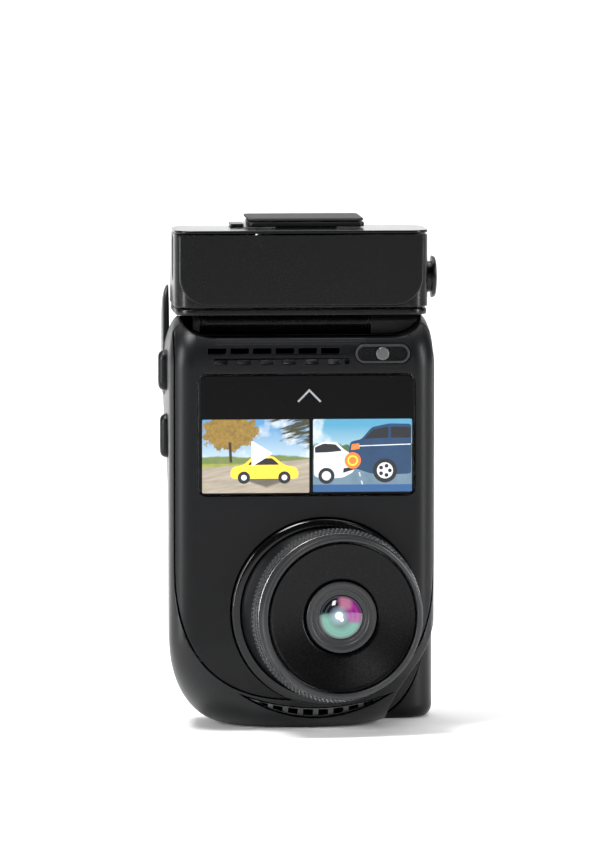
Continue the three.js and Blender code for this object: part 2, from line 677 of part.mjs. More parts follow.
function releaseSpring() {
  const turns = 4;
  const [radius, length, start] = [4.3, 7, 14.6];
  class Coil extends THREE.Curve {
    getPoint(t) {
      const turn = 2 * Math.PI * turns * t;
      return new THREE.Vector3(
        start + length * t, RELEASE.y + radius * Math.cos(turn), RELEASE.z + radius * Math.sin(turn));
    }
  }
  const wire = new THREE.Shape().absarc(0, 0, 0.3, 0, Math.PI * 2);
  return toSolid(new THREE.ExtrudeGeometry(wire, {
    steps: 9 * turns, curveSegments: 3, extrudePath: new Coil(), bevelEnabled: false,
  }));
}

// ---- module that looks at the road ----
function podLevel(z) {
  const low = Math.max(0, 1 - z / 3);
  const high = Math.max(0, (z - POD.top + 5) / 5);
  const draw = 2 * drawIn(low) + 4 * drawIn(high);
  const half = (POD.right - POD.left) / 2 - draw;
  return {
    z,
    half,
    backHalf: half,
    front: POD.front + draw,
    back: POD.back - draw,
    rx: POD.radius - draw / 2,
    ry: POD.radius - draw / 2,
    rb: POD.radius - draw / 2,
    x: (POD.left + POD.right) / 2,
  };
}

const podLoft = () => loft([0, 1, 2, 3, 15, 29, 31, 33, 34].map((z) => section(podLevel(z))));

function roadCameraHousing() {
  const hollow = box(POD.left + 4, POD.right - 4.5, 9, POD.back - 2.2, 3, POD.top - 4);
  return cut(podLoft(), hollow, bodyLoft(-GAP), rod('y', ROAD.barrel + GAP, 15, 30, ROAD.x, ROAD.z, 12));
}

const alongRoad = (profile, segments) => turned(
  profile.map(([radius, y]) => [radius, -y]), segments).translate([ROAD.x, 0, ROAD.z]);

const roadLensRing = () => alongRoad([
  [6.6, POD.back + GAP], [ROAD.ring, POD.back + GAP], [ROAD.ring, 26.2],
  [ROAD.ring - 0.8, 27], [7.4, 27], [6.6, 26.4],
], 32);
const roadLensBarrel = () => alongRoad([
  [4.4, 16], [ROAD.barrel, 16], [ROAD.barrel, 26], [4.4, 26]], 20);
const roadLensGlass = () => alongRoad([[0, 24.4], [4.1, 24.4], [4.1, 25.4], [2.4, 26], [0, 26.2]], 16);
const roadSensorBoard = () => box(ROAD.x - 8, ROAD.x + 8, 14.6, 15.6, ROAD.z - 8, ROAD.z + 8);

// ---- electronics inside the body ----
function chassis() {
  const plate = box(-25.5, 25.5, -10.2, -9.2, 49, 81);
  const window = box(-14, 14, -12, -8, 58, 74);
  return cut(plate, window);
}

function heatSink() {
  let sink = box(-14, 14, -3.6, -2.6, 58, 76);
  for (let i = 0; i < 7; i += 1) {
    const x = -13.4 + 4.3 * i;
    sink = join(sink, box(x, x + 1, -2.8, 0.4, 58, 76));
  }
  return sink;
}

function cardSocket() {
  const outside = box(12.5, 25.8, 4.3, 7.1, 53.4, 66.6);
  return cut(outside, box(13.4, 34, 4.9, 6.5, 54, 66));
}

// ---- assembly ----
const assembly = new THREE.Group();

function place(name, solid, material, parent = assembly) {
  const mesh = new THREE.Mesh(toGeometry(solid), material);
  mesh.name = name;
  parent.add(mesh);
}

place('front_cover', frontCover(), SATIN);
place('main_housing', mainHousing(), SATIN_GREY);
place('back_cover', backCover(), SATIN);
COVER_SCREWS.forEach((spot, i) => place(`cover_screw_${i + 1}`, coverScrew(spot), STEEL));
place('lower_vent_grille', lowerVentGrille(), GLOSS);
place('screen_glass', screenGlass(), GLOSS);
place('display_panel', behindScreen(-14, -12, 0.8), GLASS);
place('switch_base', switchBase(), GLOSS);
place('slide_switch', slideSwitch(), GREY_RING);
place('chassis', chassis(), ALUMINIUM);
place('main_circuit_board', box(-22.5, 24, -6.6, -5.2, 50, 80), BOARD);
place('processor', box(-6, 6, -4.9, -3.9, 61, 73), CHIP);
place('heat_sink', heatSink(), ALUMINIUM);
place('supercapacitor_1', rod('x', 3.6, -20, 4, 6, 68, 7), FOAM);
place('supercapacitor_2', rod('x', 3.6, -20, 4, 6, 59, 7), FOAM);
place('card_socket', cardSocket(), STEEL);
place('memory_card', box(
  CARD.left, CARD.right, CARD.y - CARD.thick / 2, CARD.y + CARD.thick / 2, CARD.low, CARD.high), CHIP);
place('speaker', cut(rod('y', 6.5, 4, 9, -13.5, 17, 10), rod('y', 3, 3, 4.8, -13.5, 17, 7)), CHIP);

SIDE_BUTTONS.forEach((button, i) => {
  place(button.name, sideButton(button), SATIN);
  place(`dome_switch_${i + 1}`, domeSwitch(button), STEEL);
});
place('side_button_board', box(-24.2, -23.4, -5.6, 2.6, 56, 82), BOARD);

place('lens_bezel', lensBezel(), SATIN);
place('gimbal_post', gimbalPost().translate([LENS.x, LENS.y, LENS.z]), SATIN);
const lensUnit = new THREE.Group();
lensUnit.position.set(LENS.x, LENS.y, LENS.z);
lensUnit.rotation.z = THREE.MathUtils.degToRad(LENS.pan);
assembly.add(lensUnit);
place('gimbal_block', gimbalBlock(), STEEL, lensUnit);
place('lens_carrier', lensCarrier(), SATIN, lensUnit);
place('lens_ball', lensBall(), SATIN, lensUnit);
place('turret', turret(), SATIN, lensUnit);
place('focus_ring', focusRing(), SATIN_GREY, lensUnit);
place('hood_ring', hoodRing(), GREY_RING, lensUnit);
place('hood_cone', hoodCone(), GLOSS, lensUnit);
place('lens_retaining_ring', lensRetainingRing(), GREY_RING, lensUnit);
place('lens_front_element', frontElement(), COATED_GLASS, lensUnit);
place('lens_barrel', lensBarrel(), SATIN, lensUnit);
place('image_sensor_board', sensorBoard(), BOARD, lensUnit);

place('hinge_knuckle_left', knuckle(HINGE.left, BARREL.left - 0.9), SATIN);
place('hinge_knuckle_right', knuckle(BARREL.right + 0.9, HINGE.right), SATIN_GREY);
place('hinge_shaft', alongHinge(HINGE.shaft, HINGE.left + 0.2, HINGE.shaftRight), STEEL);
place('friction_washer_left', washer(BARREL.left - 0.7), STEEL);
place('friction_washer_right', washer(BARREL.right + 0.2), STEEL);

place('mount_base_plate', mountBasePlate(), SATIN);
place('mount_shell', mountShell(), SATIN);
place('mount_lid', mountLid(), GLOSS);
place('rail_channel', railChannel(), SATIN);
place('mount_circuit_board', box(-24, 12, -10.6, 11.5, 93, 94.2), BOARD);
place('power_inlet', powerInlet(), STEEL);
place('inlet_tongue', inletTongue(), COPPER);
place('windscreen_plate', windscreenPlate(), SATIN);
place('adhesive_pad', adhesivePad(), FOAM);
place('liner_pull_tab', linerPullTab(), FILM);
place('release_button', releaseButton(), SATIN);
place('release_spring', releaseSpring(), STEEL);

place('road_camera_housing', roadCameraHousing(), SATIN_GREY);
place('road_lens_ring', roadLensRing(), SATIN);
place('road_lens_barrel', roadLensBarrel(), SATIN);
place('road_lens_glass', roadLensGlass(), COATED_GLASS);
place('road_sensor_board', roadSensorBoard(), BOARD);

export default assembly;
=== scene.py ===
import math

import bmesh
import bpy
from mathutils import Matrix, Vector


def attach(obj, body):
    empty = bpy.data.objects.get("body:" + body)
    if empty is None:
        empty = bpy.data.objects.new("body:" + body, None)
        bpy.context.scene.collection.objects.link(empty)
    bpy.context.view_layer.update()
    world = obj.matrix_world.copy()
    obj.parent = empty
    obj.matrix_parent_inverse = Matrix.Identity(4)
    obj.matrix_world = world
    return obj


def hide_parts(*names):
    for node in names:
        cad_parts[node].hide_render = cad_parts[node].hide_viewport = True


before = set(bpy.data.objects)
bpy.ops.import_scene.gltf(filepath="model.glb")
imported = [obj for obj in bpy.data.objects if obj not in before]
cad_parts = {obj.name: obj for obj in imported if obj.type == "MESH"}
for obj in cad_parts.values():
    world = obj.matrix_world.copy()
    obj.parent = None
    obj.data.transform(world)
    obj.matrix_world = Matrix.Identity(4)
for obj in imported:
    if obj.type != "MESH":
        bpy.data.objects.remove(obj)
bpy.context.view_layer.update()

MM = 0.001

# ---------------------------------------------------------------- dimensions, in millimetres
GAP = 0.3
WALL = 1.6
BODY_FRONT, BODY_BACK, BODY_HALF = -16, 14, 28.8
BODY_BACK_LOW, BODY_BACK_HIGH, BODY_TOP, SADDLE = 27.9, 29.3, 90, 85.3
COVER_HALF, COVER_SEAM, COVER_LOW, COVER_BACK, COVER_X = 28, 37, 6.8, -9.5, 0.4
SCREEN_X, SCREEN_Z, SCREEN_WIDE, SCREEN_HIGH = 0.75, 64.5, 46.5, 25.9
SWITCH_X, SWITCH_Z, SWITCH_LONG, SWITCH_HIGH = 17.2, 82, 11.3, 3.6
LENS_X, LENS_Y, LENS_Z, LENS_PAN = 4.8, -9.5, 26, math.radians(8.5)
BALL = 19.7
HINGE_Y, HINGE_Z = -3, 88
MOUNT_FRONT, MOUNT_HALF, MOUNT_FLOOR, MOUNT_LID = -13, 27.5, 90.5, 107.8
PLATE_X, PLATE_Y, PLATE_WIDE, PLATE_LONG, PLATE_Z = 1.5, 6, 25.4, 20, 108.8
ROAD_X, ROAD_Z = 15.8, 17.5
POD_LEFT, POD_RIGHT, POD_FRONT, POD_BACK, POD_TOP = 2, 30.3, 6, 24, 34
BOWL_HIGH, BOWL_DEEP, BOWL_INSET, CROWN_FROM, CROWN_HIGH = 20, 9, 14, 79, 11
VENT_X, VENT_Z, VENT_RISE, VENT_HALF, VENT_THICK = 3, 3.6, 4.6, 17, 2.6
VENT_SLOTS, VENT_PITCH, VENT_SLOT_WIDE, VENT_SLOT_HIGH = 8, 3.3, 2.1, 1.4
UPPER_BUTTON, LOWER_BUTTON = (-1.5, 77.6, 9.4), (-2, 63.4, 10.2)  # y, z and length
SCREW_SPOTS = [(-22, 71), (22, 71), (-21, 14)]
INLET_Z, RELEASE_Y, RELEASE_Z = 102.3, -4, 97.9
GLASS_X, GLASS_REACH, ROAD_GLASS_REACH = 7.4, 5.0, 4.2
PICTURE_Y = -16.03


# ---------------------------------------------------------------- node wiring
class Value:
    """One socket of a node tree, with the usual arithmetic."""

    def __init__(self, wiring, socket):
        self.wiring, self.socket = wiring, socket

    def maths(self, operation, first, second=0.0):
        return self.wiring.node("ShaderNodeMath", {"operation": operation}, {0: first, 1: second})

    def __add__(self, other):
        return self.maths("ADD", self, other)

    __radd__ = __add__

    def __mul__(self, other):
        return self.maths("MULTIPLY", self, other)

    __rmul__ = __mul__

    def __sub__(self, other):
        return self.maths("SUBTRACT", self, other)

    def __rsub__(self, other):
        return self.maths("SUBTRACT", other, self)

    def __truediv__(self, other):
        return self.maths("DIVIDE", self, other)

    def __pow__(self, other):
        return self.maths("POWER", self, other)

    def __abs__(self):
        return self.maths("ABSOLUTE", self)

    def clamped(self):
        return self.wiring.node("ShaderNodeClamp", {}, {0: self})


class Wiring:
    """A node tree that is filled one node at a time."""

    def __init__(self, tree):
        self.tree = tree

    def feed(self, socket, value):
        if isinstance(value, Value):
            self.tree.links.new(value.socket, socket)
        else:
            socket.default_value = value

    def node(self, kind, settings=None, feeds=None, out=0):
        made = self.tree.nodes.new(kind)
        for key, value in (settings or {}).items():
            setattr(made, key, value)
        for key, value in (feeds or {}).items():
            self.feed(made.inputs[key], value)
        return Value(self, made.outputs[out])


class Finish(Wiring):
    """A procedural material round one Principled shader."""

    def __init__(self, name, **constants):
        self.material = bpy.data.materials.new(name)
        self.material.use_nodes = True
        super().__init__(self.material.node_tree)
        self.tree.nodes.clear()
        self.skin = self.tree.nodes.new("ShaderNodeBsdfPrincipled")
        end = self.tree.nodes.new("ShaderNodeOutputMaterial")
        self.tree.links.new(self.skin.outputs[0], end.inputs["Surface"])
        for key, value in constants.items():
            self.skin.inputs[key.replace("_", " ")].default_value = value
        self.place = self.node("ShaderNodeTexCoord", out=3)

    def set(self, name, value):
        self.feed(self.skin.inputs[name], value)

    def noise(self, scale, detail=3.0, rough=0.55, place=None):
        return self.node("ShaderNodeTexNoise", {}, {
            "Vector": place or self.place, "Scale": scale, "Detail": detail, "Roughness": rough})

    def cells(self, scale, feature="F1"):
        return self.node("ShaderNodeTexVoronoi", {"feature": feature},
                         {"Vector": self.place, "Scale": scale})

    def mix(self, share, first, second):
        return self.node("ShaderNodeMix", {"data_type": "RGBA"}, {0: share, 6: first, 7: second}, out=2)

    def axes(self):
        """Object coordinates in millimetres, as three values."""
        return [self.node("ShaderNodeSeparateXYZ", {}, {0: self.place}, out=i) * 1000.0 for i in range(3)]

    def bump(self, height, depth, strength=1.0):
        self.set("Normal", self.node("ShaderNodeBump", {}, {
            "Height": height, "Distance": depth, "Strength": strength}))

    def above(self, value, edge, soft=0.05):
        """1 where value is over edge, with a soft step."""
        return ((value - edge) / soft + 0.5).clamped()

    def within(self, value, low, high, soft=0.05):
        return self.above(value, low, soft) * self.above(0.0 - value, -high, soft)


def moulded(name, colour, roughness, grain, depth, lift=1.35, **constants):
    """Moulded plastic: broad flow shades, a fine eroded grain and a little uneven gloss."""
    f = Finish(name, **constants)
    flow = f.noise(38.0, 2.0)
    fine = f.noise(grain, 2.0, 0.6)
    pale = tuple(c * lift for c in colour)
    f.set("Base Color", f.mix(flow * 0.5 + fine * 0.5, (*colour, 1), (*pale, 1)))
    f.set("Roughness", roughness + (flow - 0.5) * 0.1 + (fine - 0.5) * 0.16)
    f.bump(fine, depth)
    return f.material


def polished(name, colour, roughness, **constants):
    """Polished plastic: faint wiping marks and a few motes of dust."""
    f = Finish(name, **constants)
    wipe = f.noise(55.0, 4.0, 0.6)
    mote = f.above(f.noise(1900.0, 0.0), 0.84, 0.03)
    pale = tuple(c + 0.006 for c in colour)
    f.set("Base Color", f.mix(mote * 0.4 + wipe * 0.2, (*colour, 1), (*pale, 1)))
    f.set("Roughness", (roughness + (wipe - 0.45) * 0.1 + mote * 0.3).clamped())
    f.bump(f.noise(90.0, 1.0), 0.00002, 0.5)
    return f.material


def metal(name, colour, roughness, grain=1500.0, depth=0.000004):
    f = Finish(name, Metallic=1.0)
    x, y, z = f.axes()
    stretched = f.node("ShaderNodeCombineXYZ", {}, {0: x * 0.0001, 1: y * 0.001, 2: z * 0.001})
    brushed = f.noise(grain, 3.0, 0.7, stretched)
    pale = tuple(min(1.0, c * 1.25) for c in colour)
    f.set("Base Color", f.mix(brushed, (*colour, 1), (*pale, 1)))
    f.set("Roughness", roughness + (brushed - 0.5) * 0.2)
    f.bump(brushed, depth)
    return f.material


def circuit(name):
    """Solder mask over copper tracks and pads."""
    f = Finish(name, IOR=1.5)
    tracks = f.node("ShaderNodeTexBrick", {"offset": 0.37, "squash": 0.7}, {
        "Vector": f.place, "Color1": (0.008, 0.09, 0.035, 1), "Color2": (0.01, 0.11, 0.045, 1),
        "Mortar": (0.02, 0.19, 0.08, 1), "Scale": 260.0, "Mortar Size": 0.04})
    pads = f.above(f.cells(420.0), 0.12, 0.02)
    f.set("Base Color", f.mix(pads, (0.75, 0.55, 0.25, 1), tracks))
    f.set("Metallic", 1 - pads)
    f.set("Roughness", 0.32 + (f.noise(300.0) - 0.5) * 0.2)
    f.bump(pads, 0.00003)
    return f.material


SATIN = moulded("satin_black", (0.0034, 0.0036, 0.0041), 0.35, 2600.0, 0.000009, Specular_IOR_Level=0.19)
SIDE = moulded("satin_grey", (0.0048, 0.005, 0.0056), 0.34, 2600.0, 0.00001, Specular_IOR_Level=0.3)
MOUNT = moulded("mount_black", (0.0021, 0.0022, 0.0025), 0.25, 3400.0, 0.000003, Specular_IOR_Level=0.24)
GLOSS = polished("gloss_black", (0.0016, 0.0016, 0.0018), 0.07, Specular_IOR_Level=0.3)
SCREEN = polished("screen_black", (0.0012, 0.0012, 0.0014), 0.05, Specular_IOR_Level=0.1)
HOOD = moulded("hood_black", (0.0012, 0.0012, 0.0014), 0.26, 3600.0, 0.000016, Specular_IOR_Level=0.16)
RING = moulded("ring_grey", (0.014, 0.0145, 0.0155), 0.34, 3200.0, 0.000008, Specular_IOR_Level=0.4)
KNURL = moulded("knurl_grey", (0.03, 0.031, 0.033), 0.3, 3000.0, 0.000008, Specular_IOR_Level=1.0)
THROAT = moulded("lens_ring_grey", (0.014, 0.0145, 0.0155), 0.38, 3400.0, 0.000006, Specular_IOR_Level=0.4)
LID = moulded("lid_black", (0.0022, 0.0023, 0.0026), 0.2, 3000.0, 0.000004, Specular_IOR_Level=0.22)
STEEL = metal("steel", (0.5, 0.5, 0.51), 0.3)
ALUMINIUM = metal("aluminium", (0.6, 0.6, 0.61), 0.42)
COPPER = metal("contact_copper", (0.75, 0.42, 0.2), 0.3)
BOARD = circuit("circuit_board")
CHIP = moulded("component_black", (0.013, 0.013, 0.014), 0.5, 2200.0, 0.00001)
THUMB = polished("thumb_grey", (0.05, 0.052, 0.055), 0.12, Coat_Weight=0.6, Coat_Roughness=0.05)
FOAM = moulded("adhesive_foam", (0.018, 0.018, 0.019), 0.85, 1500.0, 0.00006)
FILM = moulded("film", (0.62, 0.62, 0.6), 0.3, 900.0, 0.00001, lift=1.15)


def coated_glass(name, centre_x, centre_z, reach):
    """Front glass of a lens with painted reflections: dark rings, green and violet coating reflections and
    a pale inner glint, painted into its colour and its glow.
    """
    f = Finish(name, IOR=1.6, Coat_Weight=1.0, Coat_Roughness=0.0, Emission_Strength=0.5)
    x, y, z = f.axes()
    across, up = (x - centre_x) / reach, (z - centre_z) / reach
    radius = (across * across + up * up) ** 0.5
    swirl = f.noise(260.0, 2.0) - 0.5
    inside = f.above(0.0 - radius, -0.86, 0.1)
    # masks of painted reflections: violet, rose and green coating reflections
    violet = f.above(across + up * 0.5 + swirl * 0.5, 0.3, 0.25) * f.above(up, -0.24, 0.2) * inside
    rose = f.above(0.0 - abs(across - 0.18), -0.26, 0.2) * f.above(up, 0.34, 0.2) * inside
    green = f.above(0.0 - up + across * -0.25 + swirl * 0.5, 0.08, 0.3) * inside
    glint_x, glint_z = across + 0.1, up - 0.08
    distance = (glint_x * glint_x + glint_z * glint_z) ** 0.5
    # painted highlights: a pale halo, a glint and a small spark
    painted_halo = f.above(0.0 - distance, -0.34, 0.26)
    glint = f.above(0.0 - distance, -0.15, 0.1)
    small_x, small_z = across - 0.02, up + 0.1
    painted_spark = f.above(0.0 - (small_x * small_x + small_z * small_z) ** 0.5, -0.07, 0.05)
    colour = f.mix(green, (0.003, 0.004, 0.006, 1), (0.018, 0.075, 0.062, 1))
    colour = f.mix(green * f.above(radius + swirl * 0.3, 0.5, 0.3), colour, (0.05, 0.2, 0.15, 1))
    colour = f.mix(violet * 0.9, colour, (0.19, 0.008, 0.15, 1))
    colour = f.mix(rose * 0.75, colour, (0.3, 0.13, 0.17, 1))
    colour = f.mix(painted_halo * 0.5, colour, (0.25, 0.33, 0.42, 1))
    # paler rings: painted reflections of the inner lens elements
    for ring, width, light in ((0.5, 0.018, 0.3), (0.72, 0.02, 0.45), (0.9, 0.03, 0.4)):
        colour = f.mix(f.within(radius, ring - width, ring + width, 0.03) * light, colour,
                       (0.09, 0.1, 0.11, 1))
    colour = f.mix(f.above(radius, 0.93, 0.04), colour, (0.004, 0.004, 0.005, 1))
    colour = f.mix(glint, colour, (0.72, 0.86, 0.95, 1))
    colour = f.mix(painted_spark, colour, (1.0, 1.0, 1.0, 1))
    f.set("Base Color", colour)
    # the painted reflections also glow through Emission: a painted glow, as the glass is no lamp
    f.set("Emission Color", colour)
    f.set("Roughness", 0.03 + f.noise(420.0, 2.0) * 0.03)
    return f.material


# both lens glasses carry painted reflections, painted highlights and a painted glow
LENS_GLASS = coated_glass("coated_glass", GLASS_X, LENS_Z, GLASS_REACH)
ROAD_GLASS = coated_glass("road_coated_glass", ROAD_X, ROAD_Z, ROAD_GLASS_REACH)
PANEL = polished("panel_glass", (0.006, 0.008, 0.012), 0.08, Coat_Weight=0.6)


# ---------------------------------------------------------------- outlines and meshes
def lerp(a, b, t):
    return a + (b - a) * t


def smooth_step(value, low, high):
    t = min(1.0, max(0.0, (value - low) / (high - low)))
    return t * t * (3 - 2 * t)


def draw_in(t):
    return 1 - math.sqrt(max(0.0, 1 - t * t))


def softened(corners, radius, steps=5):
    """The closed outline with every sharp corner rounded."""
    made = []
    for i, here in enumerate(corners):
        here = Vector(here)
        back, ahead = Vector(corners[i - 1]) - here, Vector(corners[(i + 1) % len(corners)]) - here
        if back.length < 1e-6 or ahead.length < 1e-6:
            continue
        turn = math.degrees(back.angle(-ahead))
        reach = min(radius, 0.48 * back.length, 0.48 * ahead.length)
        if turn < 12 or reach < 1e-4:
            made.append(tuple(here))
            continue
        a, b = here + back.normalized() * reach, here + ahead.normalized() * reach
        for k in range(steps + 1):
            t = k / steps
            made.append(tuple(a * (1 - t) ** 2 + here * 2 * t * (1 - t) + b * t * t))
    return made


def rounded_rect(wide, high, radius, a=0.0, b=0.0, steps=8):
    made = []
    for quarter, (u, v) in enumerate([(1, 1), (-1, 1), (-1, -1), (1, -1)]):
        for k in range(steps + 1):
            turn = math.pi / 2 * (quarter + k / steps)
            made.append((a + u * (wide / 2 - radius) + radius * math.cos(turn),
                         b + v * (high / 2 - radius) + radius * math.sin(turn)))
    return made


def circle(radius, a=0.0, b=0.0, steps=48):
    return [(a + radius * math.cos(2 * math.pi * i / steps), b + radius * math.sin(2 * math.pi * i / steps))
            for i in range(steps)]


def build(name, points, faces):
    mesh = bpy.data.meshes.new(name)
    mesh.from_pydata([(x * MM, y * MM, z * MM) for x, y, z in points], [], faces)
    work = bmesh.new()
    work.from_mesh(mesh)
    bmesh.ops.remove_doubles(work, verts=work.verts, dist=2e-7)
    bmesh.ops.dissolve_degenerate(work, edges=work.edges, dist=1e-8)
    bmesh.ops.recalc_face_normals(work, faces=work.faces)
    work.to_mesh(mesh)
    work.free()
    piece = bpy.data.objects.new(name, mesh)
    bpy.context.scene.collection.objects.link(piece)
    return piece


def loft(name, rings, closed=False):
    count, last = len(rings[0]), len(rings) - 1
    faces = []
    for level in range(last + 1 if closed else last):
        low, high = level * count, ((level + 1) % (last + 1)) * count
        for i in range(count):
            j = (i + 1) % count
            faces.append((low + i, low + j, high + j, high + i))
    if not closed:
        faces.append(tuple(reversed(range(count))))
        faces.append(tuple(range(last * count, (last + 1) * count)))
    return build(name, [p for ring in rings for p in ring], faces)


def shrunk(outline, amount):
    """The outline moved in by amount, whichever way round it runs."""
    area = sum(a[0] * b[1] - b[0] * a[1] for a, b in zip(outline, outline[1:] + outline[:1]))
    made = []
    for i, here in enumerate(outline):
        here = Vector(here)
        back, ahead = here - Vector(outline[i - 1]), Vector(outline[(i + 1) % len(outline)]) - here
        if back.length < 1e-7 or ahead.length < 1e-7:
            back = ahead = back if back.length > ahead.length else ahead
        along = (back.normalized() + ahead.normalized()).normalized()
        inward = Vector((-along.y, along.x)) * (1 if area > 0 else -1)
        made.append(tuple(here + inward * amount))
    return made


def prism(name, outline, axis, start, end, rim=0.0, steps=3):
    """An outline pushed along an axis, with both of its rims rounded."""
    spots = [(start, 0.0), (end, 0.0)]
    if rim:
        sweep = [math.pi / 2 * k / steps for k in range(steps + 1)]
        low = [(start + rim * (1 - math.cos(t)), rim * (1 - math.sin(t))) for t in sweep]
        high = [(end - rim * (1 - math.cos(t)), rim * (1 - math.sin(t))) for t in reversed(sweep)]
        spots = low + high
    places = {
        "x": lambda a, b, d: (d, a, b),
        "y": lambda a, b, d: (a, d, b),
        "z": lambda a, b, d: (a, b, d),
    }
    rings = []
    for d, inset in spots:
        rings.append([places[axis](a, b, d) for a, b in (shrunk(outline, inset) if inset else outline)])
    return loft(name, rings)


def block(name, x0, x1, y0, y1, z0, z1, round_by=0.0):
    outline = [(x0, z0), (x1, z0), (x1, z1), (x0, z1)]
    if round_by:
        outline = softened(outline, round_by)
    return prism(name, outline, "y", y0, y1, round_by * 0.6)


def rod(name, axis, radius, start, end, a, b, steps=48, rim=0.0):
    return prism(name, circle(radius, a, b, steps), axis, start, end, rim)


def lens_place(across, up, out):
    x, y = across, -out
    c, s = math.cos(LENS_PAN), math.sin(LENS_PAN)
    return (LENS_X + x * c - y * s, LENS_Y + x * s + y * c, LENS_Z + up)


def bezel_place(across, up, out):
    return (LENS_X + across, -out, LENS_Z + up)


def road_place(across, up, out):
    return (ROAD_X + across, out, ROAD_Z + up)


def screw_place(across, up, out):
    return (across, out, up)


def turned(name, profile, place, steps=128, soften=0.0):
    """A closed profile of radius and distance pairs, turned about an axis."""
    if soften:
        profile = softened(profile, soften, 4)
    rings = []
    for radius, out in profile:
        rings.append([place(radius * math.cos(2 * math.pi * i / steps),
                            radius * math.sin(2 * math.pi * i / steps), out) for i in range(steps)])
    return loft(name, rings, closed=True)


def settle(piece):
    """Makes the piece's modifiers real."""
    graph = bpy.context.evaluated_depsgraph_get()
    mesh = bpy.data.meshes.new_from_object(piece.evaluated_get(graph), depsgraph=graph)
    piece.modifiers.clear()
    piece.data = mesh
    return piece


def combine(piece, tools, operation="DIFFERENCE"):
    """Cuts, joins or intersects the piece with tools, which are used up."""
    for tool in tools:
        step = piece.modifiers.new("combine", "BOOLEAN")
        step.object, step.operation, step.solver = tool, operation, "MANIFOLD"
    settle(piece)
    for tool in tools:
        bpy.data.objects.remove(tool)
    return piece


def copied(piece, name):
    made = bpy.data.objects.new(name, piece.data.copy())
    bpy.context.scene.collection.objects.link(made)
    return made


def eased(piece, width, steps=2, angle=38.0):
    """Rounds the piece's sharp edges a little."""
    work = bmesh.new()
    work.from_mesh(piece.data)
    bmesh.ops.remove_doubles(work, verts=work.verts, dist=0.04 * MM)
    bmesh.ops.dissolve_degenerate(work, edges=work.edges, dist=0.01 * MM)
    work.to_mesh(piece.data)
    work.free()
    step = piece.modifiers.new("ease", "BEVEL")
    step.width, step.segments, step.limit_method = width * MM, steps, "ANGLE"
    step.angle_limit = math.radians(angle)
    step.use_clamp_overlap = False
    step.miter_outer = "MITER_ARC"
    return settle(piece)


def hand_in(piece, body, slot, material, *nodes, sharp=32.0):
    """Finishes one visible piece: material, shading, and the CAD body and nodes that it belongs to."""
    piece.data.materials.clear()
    piece.data.materials.append(material)
    for face in piece.data.polygons:
        face.material_index = 0
    piece.data.shade_smooth()
    piece.data.set_sharp_from_angle(angle=math.radians(sharp))
    step = piece.modifiers.new("even shading", "WEIGHTED_NORMAL")
    step.keep_sharp = True
    settle(piece)
    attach(piece, body)
    if nodes:
        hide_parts(*nodes)
    return piece


# ---------------------------------------------------------------- repeated shapes, as geometry nodes
class Pattern(Wiring):
    """A geometry tree with named number inputs that ends in plain geometry with one material."""

    def __init__(self, name, sizes, material):
        group = bpy.data.node_groups.new(name, "GeometryNodeTree")
        super().__init__(group)
        self.group, self.material, self.sizes = group, material, sizes
        group.interface.new_socket("Geometry", in_out="INPUT", socket_type="NodeSocketGeometry")
        for key, value in sizes.items():
            kind = "NodeSocketInt" if isinstance(value, int) else "NodeSocketFloat"
            group.interface.new_socket(key, in_out="INPUT", socket_type=kind)
        group.interface.new_socket("Geometry", in_out="OUTPUT", socket_type="NodeSocketGeometry")
        self.entry = group.nodes.new("NodeGroupInput")
        self.exit = group.nodes.new("NodeGroupOutput")

    def size(self, key):
        return Value(self, self.entry.outputs[key])

    def close(self, geometry):
        plain = self.node("GeometryNodeRealizeInstances", {}, {0: geometry})
        done = self.node("GeometryNodeSetMaterial", {}, {"Geometry": plain, "Material": self.material})
        self.tree.links.new(done.socket, self.exit.inputs[0])

    def run(self, piece):
        step = piece.modifiers.new("pattern", "NODES")
        step.node_group = self.group
        for item in self.group.interface.items_tree:
            if item.in_out == "INPUT" and item.name in self.sizes:
                step[item.identifier] = self.sizes[item.name]
        return settle(piece)


def row_of_blocks(name, count, start, pitch, size):
    """A straight row of equal blocks, which the vents and slots are cut with."""
    p = Pattern(name, {
        "Count": count, "Start X": start[0] * MM, "Start Y": start[1] * MM, "Start Z": start[2] * MM,
        "Pitch X": pitch[0] * MM, "Pitch Z": pitch[1] * MM,
        "Long": size[0] * MM, "Deep": size[1] * MM, "High": size[2] * MM}, SATIN)
    first = p.node("ShaderNodeCombineXYZ", {},
                   {0: p.size("Start X"), 1: p.size("Start Y"), 2: p.size("Start Z")})
    stride = p.node("ShaderNodeCombineXYZ", {}, {0: p.size("Pitch X"), 2: p.size("Pitch Z")})
    line = p.node("GeometryNodeMeshLine", {"mode": "OFFSET"}, {
        "Count": p.size("Count"), "Start Location": first, "Offset": stride})
    shape = p.node("ShaderNodeCombineXYZ", {}, {0: p.size("Long"), 1: p.size("Deep"), 2: p.size("High")})
    cube = p.node("GeometryNodeMeshCube", {}, {"Size": shape})
    p.close(p.node("GeometryNodeInstanceOnPoints", {}, {"Points": line, "Instance": cube}))
    holder = bpy.data.objects.new(name, bpy.data.meshes.new(name))
    bpy.context.scene.collection.objects.link(holder)
    return p.run(holder)


